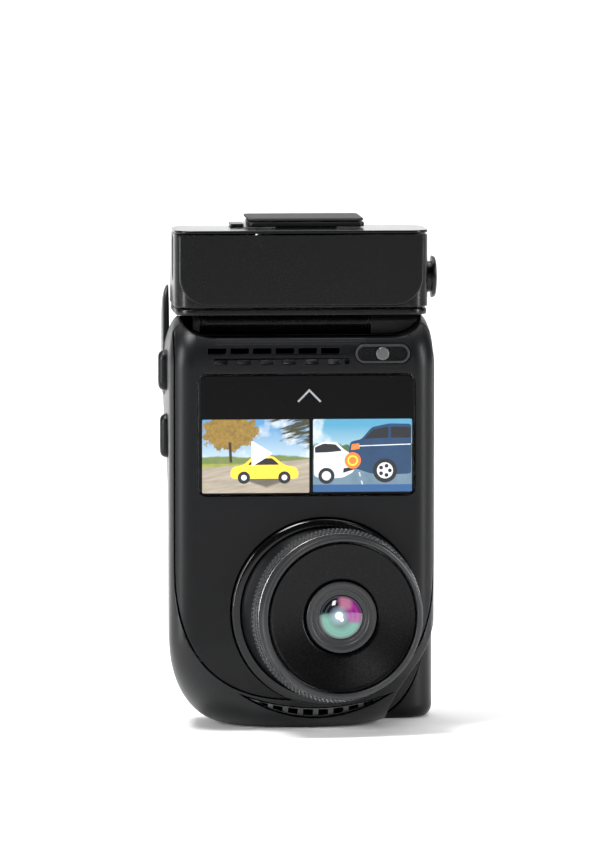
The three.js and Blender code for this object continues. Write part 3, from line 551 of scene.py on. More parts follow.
def knurled(piece, rows, count, size, material):
    """Adds rows of small teeth round the lens axis to a turned ring."""
    p = Pattern("knurl", {"Count": count, "Slope": math.radians(-12), "Tooth": size[0] * MM,
                          "Proud": size[1] * MM, "Long": size[2] * MM}, material)
    kept = [Value(p, p.entry.outputs["Geometry"])]
    shape = p.node("ShaderNodeCombineXYZ", {}, {0: p.size("Proud"), 1: p.size("Tooth"), 2: p.size("Long")})
    tooth = p.node("GeometryNodeMeshCube", {}, {"Size": shape})
    lean = p.node("ShaderNodeCombineXYZ", {}, {1: p.size("Slope")})
    diamond = p.node("GeometryNodeTransform", {}, {"Geometry": tooth, "Rotation": (math.radians(45), 0, 0)})
    leaning = p.node("GeometryNodeTransform", {}, {"Geometry": diamond, "Rotation": lean})
    for out, shift, radius in rows:
        ring = p.node("GeometryNodeMeshCircle", {"fill_type": "NONE"}, {
            "Vertices": p.size("Count"), "Radius": radius * MM})
        spot = p.node("GeometryNodeInputPosition")
        facing = p.node("FunctionNodeAlignRotationToVector", {"axis": "X"}, {"Vector": spot})
        teeth = p.node("GeometryNodeInstanceOnPoints", {}, {
            "Points": ring, "Instance": leaning, "Rotation": facing})
        spun = p.node("GeometryNodeTransform", {}, {
            "Geometry": teeth, "Translation": (0, 0, out * MM),
            "Rotation": (0, 0, math.pi * shift / count)})
        laid = p.node("GeometryNodeTransform", {}, {"Geometry": spun, "Rotation": (math.pi / 2, 0, 0)})
        kept.append(p.node("GeometryNodeTransform", {}, {
            "Geometry": laid, "Translation": (LENS_X * MM, LENS_Y * MM, LENS_Z * MM),
            "Rotation": (0, 0, LENS_PAN)}))
    together = p.tree.nodes.new("GeometryNodeJoinGeometry")
    for part in kept:
        p.tree.links.new(part.socket, together.inputs[0])
    p.close(Value(p, together.outputs[0]))
    return p.run(piece)


def dot_rows(name, cover, rows, columns, left, low, pitch, material):
    """Small round discs in rows, laid on the cover's own surface: paler dots that stand as painted glints
    on the speaker perforations.
    """
    p = Pattern(name, {"Columns": columns, "Rows": rows, "Left": left * MM, "Low": low * MM,
                       "Pitch": pitch * MM, "Radius": 0.15 * MM}, material)
    wide = p.size("Pitch") * (p.size("Columns") - 1)
    high = p.size("Pitch") * (p.size("Rows") - 1)
    grid = p.node("GeometryNodeMeshGrid", {}, {
        "Size X": wide, "Size Y": high, "Vertices X": p.size("Columns"), "Vertices Y": p.size("Rows")})
    stood = p.node("GeometryNodeTransform", {}, {"Geometry": grid, "Rotation": (math.pi / 2, 0, 0)})
    middle = p.node("ShaderNodeCombineXYZ", {}, {
        0: p.size("Left") + wide * 0.5, 1: -30 * MM, 2: p.size("Low") + high * 0.5})
    placed = p.node("GeometryNodeTransform", {}, {"Geometry": stood, "Translation": middle})
    found = p.tree.nodes.new("GeometryNodeRaycast")
    p.tree.links.new(p.entry.outputs["Geometry"], found.inputs["Target Geometry"])
    found.inputs["Ray Direction"].default_value = (0, 1, 0)
    found.inputs["Ray Length"].default_value = 0.1
    hit = {output.name: Value(p, output) for output in found.outputs if output.enabled}
    moved = p.node("GeometryNodeSetPosition", {}, {
        "Geometry": placed, "Selection": hit["Is Hit"], "Position": hit["Hit Position"]})
    disc = p.node("GeometryNodeMeshCylinder", {"fill_type": "NGON"}, {
        "Vertices": 10, "Radius": p.size("Radius"), "Depth": 0.06 * MM})
    dots = p.node("GeometryNodeInstanceOnPoints", {}, {
        "Points": moved, "Selection": hit["Is Hit"], "Instance": disc,
        "Rotation": p.node("FunctionNodeAlignRotationToVector", {"axis": "Z"},
                           {"Vector": hit["Hit Normal"]})})
    p.close(dots)
    return p.run(copied(cover, name))


# ---------------------------------------------------------------- casing shapes
def section(z, half, back_half, front, back, rx, ry, rb, x=0.0, fine=18):
    corners = [(half - rx, front + ry, rx, ry, -90, fine), (back_half - rb, back - rb, rb, rb, 0, 8),
               (rb - back_half, back - rb, rb, rb, 90, 8), (rx - half, front + ry, rx, ry, 180, fine)]
    ring = []
    for cx, cy, ax, ay, start, steps in corners:
        for i in range(steps + 1):
            turn = math.radians(start + 90 * i / steps)
            ring.append((x + cx + ax * math.cos(turn), cy + ay * math.sin(turn), z))
    return ring


BODY_LEVELS = [BOWL_HIGH * (1 - math.sin(math.radians(a))) for a in range(90, 0, -5)]
BODY_LEVELS += [20, 24, 28, 32, 36, 40, 45, 49, 53, 57, 61, 65, 69, 73, 76]
BODY_LEVELS += [CROWN_FROM + CROWN_HIGH * math.sin(math.radians(a)) for a in range(0, 91, 5)]


def body_ring(height, inset):
    low, high = max(0.0, 1 - height / BOWL_HIGH), max(0.0, (height - CROWN_FROM) / CROWN_HIGH)
    rise = smooth_step(height, 45, 82)
    narrow = BOWL_INSET * draw_in(low) + 2.9 * draw_in(high)
    half = BODY_HALF - narrow - inset
    return section(
        inset + height * (BODY_TOP - 2 * inset) / BODY_TOP, half,
        lerp(BODY_BACK_LOW, BODY_BACK_HIGH, rise) - narrow - inset,
        BODY_FRONT + BOWL_DEEP * draw_in(low) + CROWN_HIGH * draw_in(high) + inset, BODY_BACK - inset,
        lerp(5.5, half - 1, low * low), lerp(5.5, 12, low), 4)


def body_loft(name, inset):
    return loft(name, [body_ring(h, inset) for h in BODY_LEVELS])


def top_cuts(lower):
    saddle = [(-27.2, 95), (-26.4, 89.6), (-25, 87.4), (-23, 86), (-20, SADDLE), (20, SADDLE), (23, 86),
              (25, 87.4), (26.4, 89.6), (27.2, 95)]
    turn = math.radians(42)

    def slope(y):
        return HINGE_Z + (1.2 - (y - HINGE_Y) * math.sin(turn)) / math.cos(turn)

    start = HINGE_Y - 0.5
    behind = [(start, slope(start)), (20, slope(20)), (20, 99), (start, 99)]
    return [prism("across", softened([(a, b - lower) for a, b in saddle], 1.2), "y", -25, 25),
            prism("behind", [(a, b - lower) for a, b in behind], "x", -40, 40)]


def lobe_cut(shift):
    side = [(29.4, 26), (28.5, 22.5), (27.2, 18.4), (25.2, 15), (22.8, 11.6), (20.6, 8), (19.2, 4.6),
            (18.4, -1), (40, -1), (40, 26)]
    return prism("lobe", softened([(a - 0.8 * shift, b + 0.6 * shift) for a, b in side], 2.0), "y", -25,
                 5.6)


def cover_region(name, grow, back):
    half, drop = COVER_HALF + grow, COVER_SEAM - COVER_LOW + grow
    points = [(COVER_X + half, 99)]
    for i in range(73):
        c, s = math.cos(math.radians(2.5 * i)), math.sin(math.radians(2.5 * i))
        points.append((COVER_X + half * math.copysign(abs(c) ** 0.8, c), COVER_SEAM - drop * s ** 0.8))
    points.append((COVER_X - half, 99))
    return prism(name, points, "y", -25, back)


def lens_clearance():
    return [rod("hole", "y", 20.6, -30, -12.7, LENS_X, LENS_Z, 96),
            rod("hole", "y", 20.1, -30, -8, LENS_X, LENS_Z, 96)]


def crescent(shrink):
    """The grille's outline: it opens upwards and has pointed tips."""
    half = VENT_HALF - 7 * shrink
    low, high = VENT_Z - VENT_THICK / 2 + shrink, VENT_Z + VENT_THICK / 2 - shrink
    tip = VENT_Z + VENT_RISE * (half / VENT_HALF) ** 2
    points = []
    for start, end, control in [(-half, half, 2 * low - tip), (half, -half, 2 * high - tip)]:
        for k in range(24):
            t = k / 24
            points.append((VENT_X + start * (1 - t) ** 2 + end * t * t,
                           tip * ((1 - t) ** 2 + t * t) + control * 2 * t * (1 - t)))
    return points


outer = combine(body_loft("outer", 0), top_cuts(0) + [lobe_cut(0)])
inner = combine(body_loft("inner", WALL), top_cuts(WALL) + [lobe_cut(WALL)])
slab = combine(copied(outer, "back_cover_shell"), [block("keep", -40, 40, 12.2, 20, -1, 99)], "INTERSECT")
walls = combine(outer, [inner])

# the fascia: screen window, switch pocket, lens opening and two rows of vents
cover = combine(copied(walls, "fascia"), [cover_region("region", 0, COVER_BACK)], "INTERSECT")
window = rounded_rect(SCREEN_WIDE + 2 * GAP, SCREEN_HIGH + 2 * GAP, 1.8, SCREEN_X, SCREEN_Z)
pocket = rounded_rect(SWITCH_LONG + 2 * GAP, SWITCH_HIGH + 2 * GAP, 2.09, SWITCH_X, SWITCH_Z, 12)
combine(cover, [
    prism("window", window, "y", -20, -13),
    prism("pocket", pocket, "y", -20, -12),
    *lens_clearance(),
    row_of_blocks("upper_vents", 6, (-18.6, -16, 82.6), (4.9, 0), (4.0, 8, 1.2)),
    row_of_blocks("lower_vents", 6, (-17.7, -16, 80.3), (4.9, 0), (2.8, 8, 1.1)),
    rod("microphone", "y", 0.55, -20, -12, 9.5, 80.3, 20),
])
eased(cover, 0.22)
# paler discs in the lens-ring grey over the speaker perforations: painted glints
perforation_glints = dot_rows("speaker_perforation_glints", cover, 5, 58, -18.6, 84.05, 0.56, KNURL)
hand_in(cover, "camera", "satin_black", SATIN, "front_cover")
hand_in(perforation_glints, "camera", "component_black", THROAT)

# the tub behind it, with the tongue beside the mount
shell = combine(copied(walls, "housing_shell"), [
    cover_region("region", GAP, COVER_BACK + GAP),
    block("rear", -40, 40, 11.9, 20, -1, 99),
    *lens_clearance(),
    prism("crescent", crescent(0), "y", -25, -3),
    *[prism("hole", rounded_rect(4.8, long, 2.39, y, z, 12), "x", -34, -24)
      for y, z, long in (UPPER_BUTTON, LOWER_BUTTON)],
    row_of_blocks("side_slots", 4, (-29, -6.5, 36.4), (0, -4.1), (10, 1.2, 2.8)),
    block("card_slot", 24, 34, 4.8, 6.6, 54, 66),
])
tongue = []
for z, outside, start, end in [
        (72, 29.2, 3, 11.85), (80, 29.3, 3.8, 11.85), (86, 29.3, 4.4, 11.85), (90, 29.25, 5.4, 11.8),
        (92.5, 29.1, 6.3, 11.5), (94.2, 28.8, 7.3, 11), (95.2, 28.4, 8.3, 10.4), (95.55, 28.1, 9, 9.9)]:
    tongue.append([(x, y, z) for x, y in softened(
        [(-outside, start), (-27.8, start), (-27.8, end), (-outside, end)], 0.5, 4)])
combine(shell, [loft("tongue", tongue)], "UNION")
eased(shell, 0.2)
hand_in(shell, "camera", "satin_grey", SIDE, "main_housing")

combine(slab, [
    block("wiring", ROAD_X - 6, ROAD_X + 6, 10, 20, ROAD_Z - 5, ROAD_Z + 5),
    *[rod("hole", "y", 1.3, 10, 20, x, z, 24) for x, z in SCREW_SPOTS],
    *[row_of_blocks("vents", 5, (-16, 14, z), (8, 0), (5.2, 8, 1.2)) for z in (62, 58)],
])
eased(slab, 0.2)
hand_in(slab, "camera", "satin_black", SATIN, "back_cover")
bpy.data.objects.remove(walls)


# fasteners and the lower grille
def screw_heads(name, spots):
    """Pan-head screws with a cross recess, one at each spot."""
    head = turned("head", [(0, 13.0), (1.22, 13.0), (1.24, 13.3), (1.1, 13.6), (0.7, 13.76), (0, 13.8)],
                  screw_place, 32)
    shank = rod("shank", "y", 1.0, 4.6, 13.2, 0, 0, 24, 0.2)
    combine(head, [shank], "UNION")
    combine(head, [block("bar", -0.75, 0.75, 13.2, 14, -0.14, 0.14),
                   block("bar", -0.14, 0.14, 13.2, 14, -0.75, 0.75)])
    p = Pattern(name, {"Turn": 0.35}, STEEL)
    kept = p.tree.nodes.new("GeometryNodeJoinGeometry")
    for i, (x, z) in enumerate(spots):
        turn = p.node("ShaderNodeCombineXYZ", {}, {1: p.size("Turn") * float(i + 1)})
        at = p.node("GeometryNodeTransform", {}, {
            "Geometry": Value(p, p.entry.outputs["Geometry"]), "Translation": (x * MM, 0, z * MM),
            "Rotation": turn})
        p.tree.links.new(at.socket, kept.inputs[0])
    p.close(Value(p, kept.outputs[0]))
    head.name = name
    return p.run(head)


screws = screw_heads("cover_screws", SCREW_SPOTS)
hand_in(screws, "camera", "steel", STEEL, "cover_screw_1", "cover_screw_2", "cover_screw_3")

grille = combine(body_loft("lower_grille", 0.5), [body_loft("inside", 1.5)])
combine(grille, [prism("crescent", crescent(GAP), "y", -25, -3)], "INTERSECT")
def lower_slot(x):
    """One slot of the grille: it follows the slope and the taper of the crescent."""
    corners = []
    for side, up in [(-1, -1), (1, -1), (1, 1), (-1, 1)]:
        across = x + side * VENT_SLOT_WIDE / 2
        reach = VENT_SLOT_HIGH / 2 * (1 - (across / (VENT_HALF - 7 * GAP)) ** 2)
        corners.append((VENT_X + across, VENT_Z + VENT_RISE * (across / VENT_HALF) ** 2 + up * reach))
    return prism("slot", corners, "y", -25, -3)


combine(grille, [lower_slot((i - (VENT_SLOTS - 1) / 2) * VENT_PITCH) for i in range(VENT_SLOTS)])
eased(grille, 0.08)
hand_in(grille, "camera", "gloss_black", KNURL, "lower_vent_grille")

# ---------------------------------------------------------------- screen
glass = prism("screen_window", rounded_rect(SCREEN_WIDE, SCREEN_HIGH, 1.5, SCREEN_X, SCREEN_Z, 10),
              "y", BODY_FRONT, BODY_FRONT + 1.2, 0.25, 4)
hand_in(glass, "camera", "gloss_black", SCREEN, "screen_glass")


def lit(name, picture, strength=0.75):
    """A lit picture under clear glass: its colour comes from the picture function."""
    f = Finish(name, Coat_Weight=0.35, Coat_Roughness=0.02, Emission_Strength=strength,
               Specular_IOR_Level=0.3)
    x, y, z = f.axes()
    dots = f.noise(5200.0, 0.0)
    colour = picture(f, x, z)
    f.set("Emission Color", colour)
    f.set("Base Color", f.mix(0.75, colour, (0.01, 0.01, 0.01, 1)))
    f.set("Roughness", 0.08 + dots * 0.06)
    return f.material


def autumn_road(f, x, z):
    """Sky, an orange tree, a field and a pale road."""
    leaf = f.noise(620.0, 3.0, 0.7)
    cloud = f.noise(170.0, 3.0)
    sky = f.mix(f.above(z, 62.5, 8.0), (0.62, 0.78, 0.86, 1), (0.12, 0.36, 0.66, 1))
    sky = f.mix(f.above(cloud, 0.58, 0.12) * 0.7, sky, (0.9, 0.93, 0.95, 1))
    hills = f.mix(leaf, (0.1, 0.2, 0.06, 1), (0.3, 0.34, 0.09, 1))
    colour = f.mix(f.above(z + (cloud - 0.5) * 2.0, 59.8, 0.3), hills, sky)
    crown_x, crown_z = x + 15.9, z - 65.2
    crown = 5.4 - (crown_x * crown_x * 0.75 + crown_z * crown_z * 1.9) ** 0.5 + (leaf - 0.5) * 6.5
    leaves = f.mix(f.noise(1100.0, 3.0, 0.75), (0.07, 0.045, 0.01, 1), (0.62, 0.38, 0.06, 1))
    colour = f.mix(f.above(crown, 0.0, 0.5), colour, leaves)
    blurred = f.node("ShaderNodeCombineXYZ", {}, {0: x * 0.0002, 2: (z - x * 0.25) * 0.0016})
    boughs = f.above(f.noise(700.0, 3.0, 0.7, blurred) + (x + 4.0) * 0.03 + (z - 65.0) * 0.035, 0.58, 0.12)
    colour = f.mix(boughs * f.above(x, -8.5, 3.0) * f.above(z, 61.5, 1.6), colour, (0.05, 0.05, 0.02, 1))
    trunk = f.within(x + 15.8 + (z - 61.0) * 0.05, -0.3, 0.3, 0.12) * f.within(z, 58.6, 63.0, 0.2)
    colour = f.mix(trunk, colour, (0.035, 0.02, 0.01, 1))
    field = f.mix(leaf, (0.16, 0.24, 0.03, 1), (0.62, 0.6, 0.12, 1))
    colour = f.mix(f.above(0.0 - z, -58.3, 0.25), colour, field)
    streak = f.node("ShaderNodeCombineXYZ", {}, {0: (x + z * 2.0) * 0.0001, 2: (z - x * 0.18) * 0.0012})
    road = f.mix(f.noise(900.0, 3.0, 0.6, streak), (0.2, 0.16, 0.12, 1), (0.78, 0.68, 0.54, 1))
    shade = f.above(5.2 - abs(x + 8.0) - abs(z - 54.9) * 3.0, 0.0, 1.5)
    road = f.mix(shade * 0.75, road, (0.05, 0.04, 0.03, 1))
    return f.mix(f.above((x + 22.0) * 0.08 - (z - 57.4), 0.0, 0.2), colour, road)


def open_road(f, x, z):
    """Evening sky, a tree line and a blue-grey road."""
    leaf = f.noise(540.0, 3.0, 0.7)
    cloud = f.noise(150.0, 3.0)
    sky = f.mix(f.above(z, 62.0, 9.0), (0.66, 0.82, 0.84, 1), (0.1, 0.4, 0.62, 1))
    sky = f.mix(f.above(cloud, 0.57, 0.14) * 0.8, sky, (0.88, 0.94, 0.95, 1))
    trees = f.mix(leaf, (0.02, 0.09, 0.04, 1), (0.12, 0.25, 0.1, 1))
    colour = f.mix(f.above(z + (leaf - 0.5) * 3.2, 62.2, 0.4), trees, sky)
    road = f.mix(f.noise(380.0, 3.0) * 0.7, (0.1, 0.2, 0.3, 1), (0.3, 0.42, 0.5, 1))
    colour = f.mix(f.above(0.0 - z, -59.4, 0.3), colour, road)
    lane = f.within((x - 13.0) * 0.75 + (z - 53.0) * 0.2, -0.12, 0.12, 0.08)
    dash = f.above(f.node("ShaderNodeMath", {"operation": "SINE"}, {0: z * 3.4}), 0.0, 0.3)
    colour = f.mix(lane * dash * f.above(0.0 - z, -58.6, 0.3) * 0.8, colour, (0.85, 0.9, 0.92, 1))
    return f.mix(f.above(0.0 - z, -53.7, 0.15), colour, (0.02, 0.12, 0.32, 1))


def tile(name, x0, x1, z0, z1, material):
    piece = prism(name, softened([(x0, z0), (x1, z0), (x1, z1), (x0, z1)], 0.35), "y", PICTURE_Y, -15.9,
                  0.02, 2)
    return hand_in(piece, "camera", "screen", material)


tile("left_picture", -21.9, 1.3, 51.95, 67.9, lit("autumn_road", autumn_road))
tile("right_picture", 2.1, 23.55, 52.1, 67.9, lit("open_road", open_road))


def enamel(name, colour, strength=0.6):
    f = Finish(name, Coat_Weight=0.35, Emission_Strength=strength, Specular_IOR_Level=0.3)
    shade = f.noise(320.0, 2.0)
    dark = tuple(c * 0.62 for c in colour)
    tint = f.mix(shade, (*dark, 1), (*colour, 1))
    f.set("Base Color", tint)
    f.set("Emission Color", tint)
    f.set("Roughness", 0.1 + shade * 0.05)
    return f.material


YELLOW = enamel("picture_yellow", (0.95, 0.62, 0.05))
SILVER = enamel("picture_silver", (0.62, 0.67, 0.7))
NAVY = enamel("picture_navy", (0.012, 0.042, 0.1))
DARK = enamel("picture_dark", (0.012, 0.014, 0.018), 0.3)
WHITE = enamel("picture_white", (0.9, 0.92, 0.93))
ORANGE = enamel("picture_orange", (0.95, 0.16, 0.03), 0.9)


def decal(name, outline, material, layer=1):
    """A paper-thin closed shape on the screen. Higher layers lie in front."""
    front = PICTURE_Y - 0.012 * layer
    return hand_in(prism(name, outline, "y", front, -15.98, 0.0), "camera", "screen", material)


def little_car(name, x, z, size, paint, facing=1):
    """A plain saloon seen from the side: body, windows and two wheels."""
    body = [(-4.2, 0.2), (-4.3, 1.2), (-3.9, 1.7), (-2.6, 1.95), (-1.5, 3.0), (1.1, 3.05), (2.4, 1.95),
            (4.0, 1.6),
            (4.3, 1.0), (4.2, 0.2)]
    cabin = [(-2.15, 1.95), (-1.3, 2.75), (0.95, 2.8), (1.9, 1.95)]

    def put(points):
        return [(x + facing * a * size, z + b * size) for a, b in points]

    decal(name + "_body", softened(put(body), 0.5 * size), paint, 1)
    decal(name + "_windows", softened(put(cabin), 0.25 * size), DARK, 2)
    for side, a in (("rear", -2.6), ("front", 2.5)):
        hub = (x + facing * a * size, z + 0.35 * size)
        decal(f"{name}_{side}_wheel", circle(0.78 * size, *hub, 24), DARK, 2)
        decal(f"{name}_{side}_hub", circle(0.36 * size, *hub, 16), SILVER, 3)


little_car("yellow_car", -8.4, 54.7, 1.72, YELLOW)
decal("silver_car_body", softened([
    (2.3, 55.6), (2.3, 62.0), (4.3, 63.0), (7.2, 62.8), (9.2, 61.0), (10.8, 60.2), (11.3, 58.4),
    (10.9, 56.4),
    (8.6, 55.2), (4.0, 54.9)], 0.6), SILVER, 1)
decal("silver_car_window",
      softened([(2.5, 60.6), (2.5, 61.8), (4.4, 62.6), (7.0, 62.4), (8.4, 61.0), (5.4, 60.7)], 0.3), DARK,
      2)
decal("silver_car_wheel", circle(1.75, 5.0, 55.6, 32), DARK, 2)
decal("silver_car_hub", circle(1.0, 5.0, 55.6, 24), SILVER, 3)
decal("silver_car_bumper", softened([(8.6, 56.2), (11.1, 57.0), (11.2, 57.6), (8.7, 57.2)], 0.2), DARK, 2)
decal("blue_car_body", softened([
    (10.6, 57.4), (9.8, 60.6), (10.2, 63.0), (12.6, 63.5), (14.8, 66.1), (18.6, 66.9), (23.4, 66.8),
    (23.4, 56.0),
    (20.4, 55.9), (14.8, 56.0)], 0.7), NAVY, 1)
decal("blue_car_rear_window", softened([(13.2, 63.6), (15.2, 65.6), (18.4, 66.2), (18.4, 63.8)], 0.3),
      DARK, 2)
decal("blue_car_side_window", softened([(19.0, 63.8), (19.0, 66.2), (23.3, 66.1), (23.3, 63.8)], 0.3),
      DARK, 2)
decal("blue_car_crease", softened([(11.0, 61.9), (23.3, 62.3), (23.3, 62.5), (11.0, 62.1)], 0.05), SILVER,
      2)
decal("blue_car_lamp", softened([(10.3, 61.2), (12.2, 61.4), (12.1, 62.6), (10.5, 62.4)], 0.2), ORANGE, 2)
decal("blue_car_wheel", circle(2.6, 17.7, 56.7, 36), DARK, 3)
decal("blue_car_rim", circle(1.75, 17.7, 56.7, 32), SILVER, 4)
for spoke in range(5):
    turn = 2 * math.pi * spoke / 5
    decal(f"blue_car_rim_gap_{spoke + 1}",
          circle(0.42, 17.7 + 1.05 * math.cos(turn), 56.7 + 1.05 * math.sin(turn), 12), DARK, 5)
decal("play_mark", softened([(-11.2, 57.7), (-6.6, 60.5), (-11.2, 63.3)], 0.3), WHITE, 5)
decal("round_marker", circle(1.75, 10.7, 58.9, 40), ORANGE, 6)
decal("round_marker_ring", circle(1.15, 10.7, 58.9, 32), YELLOW, 7)
decal("round_marker_centre", circle(0.8, 10.7, 58.9, 28), ORANGE, 8)
chevron = [(-2.6, -1.3), (-2.3, -1.6), (0, 0.95), (2.3, -1.6), (2.6, -1.3), (0, 1.6)]
decal("menu_chevron", [(1.3 + a, 73 + b * 0.92) for a, b in chevron],
      enamel("soft_grey_light", (0.3, 0.32, 0.34), 0.2), 1)

# ---------------------------------------------------------------- switch under the vents
surround = prism("switch_surround",
                 rounded_rect(SWITCH_LONG + 0.5, SWITCH_HIGH + 0.5, 2.04, SWITCH_X, SWITCH_Z, 14),
                 "y", -16.12, -14.0, 0.12)
combine(surround, [prism("recess",
                         rounded_rect(SWITCH_LONG - 0.5, SWITCH_HIGH - 0.5, 1.54, SWITCH_X, SWITCH_Z, 14),
                         "y", -20, -15.2)])
eased(surround, 0.08)
hand_in(surround, "camera", "gloss_black", RING, "switch_base")
# a near-black sheet laid over the recess floor: painted shade in the switch recess
recess_shade_sheet = prism("switch_recess_shade",
                     rounded_rect(SWITCH_LONG - 0.55, SWITCH_HIGH - 0.55, 1.52, SWITCH_X, SWITCH_Z, 14),
                     "y", -15.3, -15.1)
hand_in(recess_shade_sheet, "camera", "gloss_black", HOOD)
thumb = prism("switch_thumb", circle(1.45, SWITCH_X, SWITCH_Z, 40), "y", -16.4, -15.6, 0.35, 5)
combine(thumb, [block("foot", SWITCH_X - 1.2, SWITCH_X + 1.2, -15.7, -15.25, SWITCH_Z - 0.9,
                      SWITCH_Z + 0.9)], "UNION")
hand_in(thumb, "slide_switch", "ring_grey", THUMB, "slide_switch")

# ---------------------------------------------------------------- lens
def ball_arc(radius, start, end, steps):
    outs = [start + (end - start) * i / steps for i in range(steps + 1)]
    return [(math.sqrt(radius * radius - out * out), out) for out in outs]


def ball_gap(y):
    return math.sqrt(BALL ** 2 - (y - LENS_Y) ** 2) + GAP


bezel = turned("lens_surround", [
    (ball_gap(-13), 13), (20.3, 13), (20.3, 16.75), (20.1, 17.05), (19.8, 17.2),
    (ball_gap(-17.2) + 0.2, 17.2),
    (ball_gap(-17.0), 17.0), (ball_gap(-16.2), 16.2), (ball_gap(-15.2), 15.2), (ball_gap(-14.1), 14.1)],
    bezel_place, 160)
hand_in(bezel, "camera", "gloss_black", GLOSS, "lens_bezel")
ball = turned("lens_ball_shell", [
    *ball_arc(BALL, -9, 12.6, 30), (15.0, 12.9), (8.4, 12.9), (8.4, 11.4),
    *reversed(ball_arc(BALL - 1.5, -9, 11.4, 16))], lens_place, 144)
hand_in(ball, "lens_unit", "satin_black", SATIN, "lens_ball")
ring = turned("knurled_ring", [
    (14.6, 13.4), (18.5, 13.4), (18.65, 13.5), (18.6, 14.3), (18.35, 14.45), (18.4, 14.6), (18.3, 15.35),
    (18.05, 15.5), (18.1, 15.65), (18.0, 16.4), (17.8, 16.6), (14.6, 16.6)], lens_place, 160)
ring = knurled(ring, [(13.9, 0.0, 18.62), (14.95, 1.0, 18.38), (16.0, 0.0, 18.08)], 124,
               (0.52, 0.46, 0.62), KNURL)
hand_in(ring, "focus_ring", "satin_grey", KNURL, "focus_ring")
hood = turned("hood_band", [
    (16.4, 16.9), (18.0, 16.9), (18.02, 17.2), (17.75, 19.0), (17.6, 19.5), (17.3, 19.75), (16.95, 19.8),
    (16.65, 19.7), (16.5, 19.5), (16.4, 19.1)], lens_place, 160)
hand_in(hood, "lens_unit", "ring_grey", RING, "hood_ring")
dish = turned("hood_dish", [
    (8.1, 16.9), (16.1, 16.9), (16.1, 19.2), (15.9, 19.35), (15.6, 19.3), (15.2, 19.08), (12.0, 18.5),
    (8.9, 17.95),
    (8.5, 17.9), (8.1, 17.6)], lens_place, 160)
hand_in(dish, "lens_unit", "gloss_black", HOOD, "hood_cone")
retainer = turned("lens_retainer", [
    (5.9, 16.4), (7.7, 16.4), (7.7, 18.2), (7.55, 18.4), (7.3, 18.45), (6.75, 18.42), (6.6, 18.32),
    (6.55, 18.1),
    (6.1, 18.06), (6.0, 17.98), (5.95, 17.86), (5.5, 17.84), (5.4, 17.78), (5.35, 17.72), (4.95, 17.72),
    (4.85, 17.66), (5.0, 17.58), (5.9, 17.3)], lens_place, 128)
hand_in(retainer, "lens_unit", "ring_grey", THROAT, "lens_retaining_ring")
dome = [(5.45 * math.cos(math.radians(a)), 17.0 + 1.15 * math.sin(math.radians(a)))
        for a in range(0, 90, 8)]
front_lens = turned("front_lens", [(0, 16.5), (5.6, 16.5), (5.6, 17.0), *dome, (0, 18.15)], lens_place, 96)
hand_in(front_lens, "lens_unit", "coated_glass", LENS_GLASS, "lens_front_element")

# ---------------------------------------------------------------- side buttons
def side_button(name, body, y, z, length):
    """A pill-shaped cap with three grooves, and the flange that holds it in."""
    wall = -lerp(BODY_HALF, lerp(BODY_BACK_LOW, BODY_BACK_HIGH, smooth_step(z, 45, 82)), 0.55)
    cap = prism(name, rounded_rect(4.2, length - 0.6, 2.08, y, z, 14), "x", wall - 1.6, wall + 2.2, 1.35, 7)
    flange = prism("flange", softened([(y - 3.1, z - length / 2 - 0.5), (y + 3.1, z - length / 2 - 0.5),
                                       (y + 3.1, z + length / 2 + 0.5), (y - 3.1, z + length / 2 + 0.5)],
                                       0.6),
                   "x", wall + 2.1, wall + 2.8)
    combine(cap, [flange], "UNION")
    groove = [block("groove", wall - 1.9, wall - 1.45, y - 1.1, y + 1.1, z + s - 0.18, z + s + 0.18)
              for s in (-1.2, 0, 1.2)]
    combine(cap, groove)
    hand_in(cap, body, "satin_black", SATIN, body)


side_button("upper_button_cap", "upper_button", *UPPER_BUTTON)
side_button("lower_button_cap", "lower_button", *LOWER_BUTTON)


# ---------------------------------------------------------------- hinge and mount
def on_hinge(name, radius, start, end, rim=0.0):
    return rod(name, "x", radius, start, end, HINGE_Y, HINGE_Z, 56, rim)


grown = body_loft("grown", 0)
combine(grown, top_cuts(0) + [lobe_cut(0)])
for corner in grown.data.vertices:
    corner.co.z += GAP * MM


def knuckle(name, start, end, node):
    piece = on_hinge(name, 2.2, start, end, 0.25)
    combine(piece, [block("foot", start, end, HINGE_Y - 2.2, HINGE_Y + 2.2, 80, HINGE_Z, 0.15)], "UNION")
    combine(piece, [copied(grown, "body"), on_hinge("bore", 1.2, -30, 30)])
    eased(piece, 0.12)
    hand_in(piece, "camera", "satin_grey", SIDE, node)


knuckle("left_knuckle", -23.3, -21.8, "hinge_knuckle_left")
knuckle("right_knuckle", 15.5, 26.2, "hinge_knuckle_right")
bpy.data.objects.remove(grown)


def mount_ring(z, inset, grow=0.0):
    share = (z - MOUNT_FLOOR) / (MOUNT_LID - MOUNT_FLOOR)
    half = MOUNT_HALF - inset + grow
    return section(z, half, half, MOUNT_FRONT + inset - grow, lerp(16, 9, share) - inset + grow,
                   4.5 - inset / 2, 4.5 - inset / 2, 5.5 - inset / 2, fine=14)


def mount_block(name, low, high, inset=0.0, rim=0.0, steps=4):
    levels = [(low, 0.0), (high, 0.0)]
    if rim:
        sweep = [math.pi / 2 * k / steps for k in range(steps + 1)]
        levels = [(low + rim * (1 - math.cos(t)), rim * (1 - math.sin(t))) for t in sweep]
        levels += [(high - rim * (1 - math.cos(t)), rim * (1 - math.sin(t))) for t in reversed(sweep)]
    return loft(name, [mount_ring(z, inset + draw) for z, draw in levels])


base = mount_block("mount_floor", 90.12, 91.5, 0.2, 0.3)
combine(base, [
    on_hinge("barrel", 2.2, -20.9, 14.6, 0.2),
    block("web", -20.9, 14.6, HINGE_Y - 1.5, HINGE_Y + 2.2, HINGE_Z, 90.7)], "UNION")
combine(base, [on_hinge("bore", 1.2, -30, 30)])
hand_in(base, "mount", "satin_black", MOUNT, "mount_base_plate")

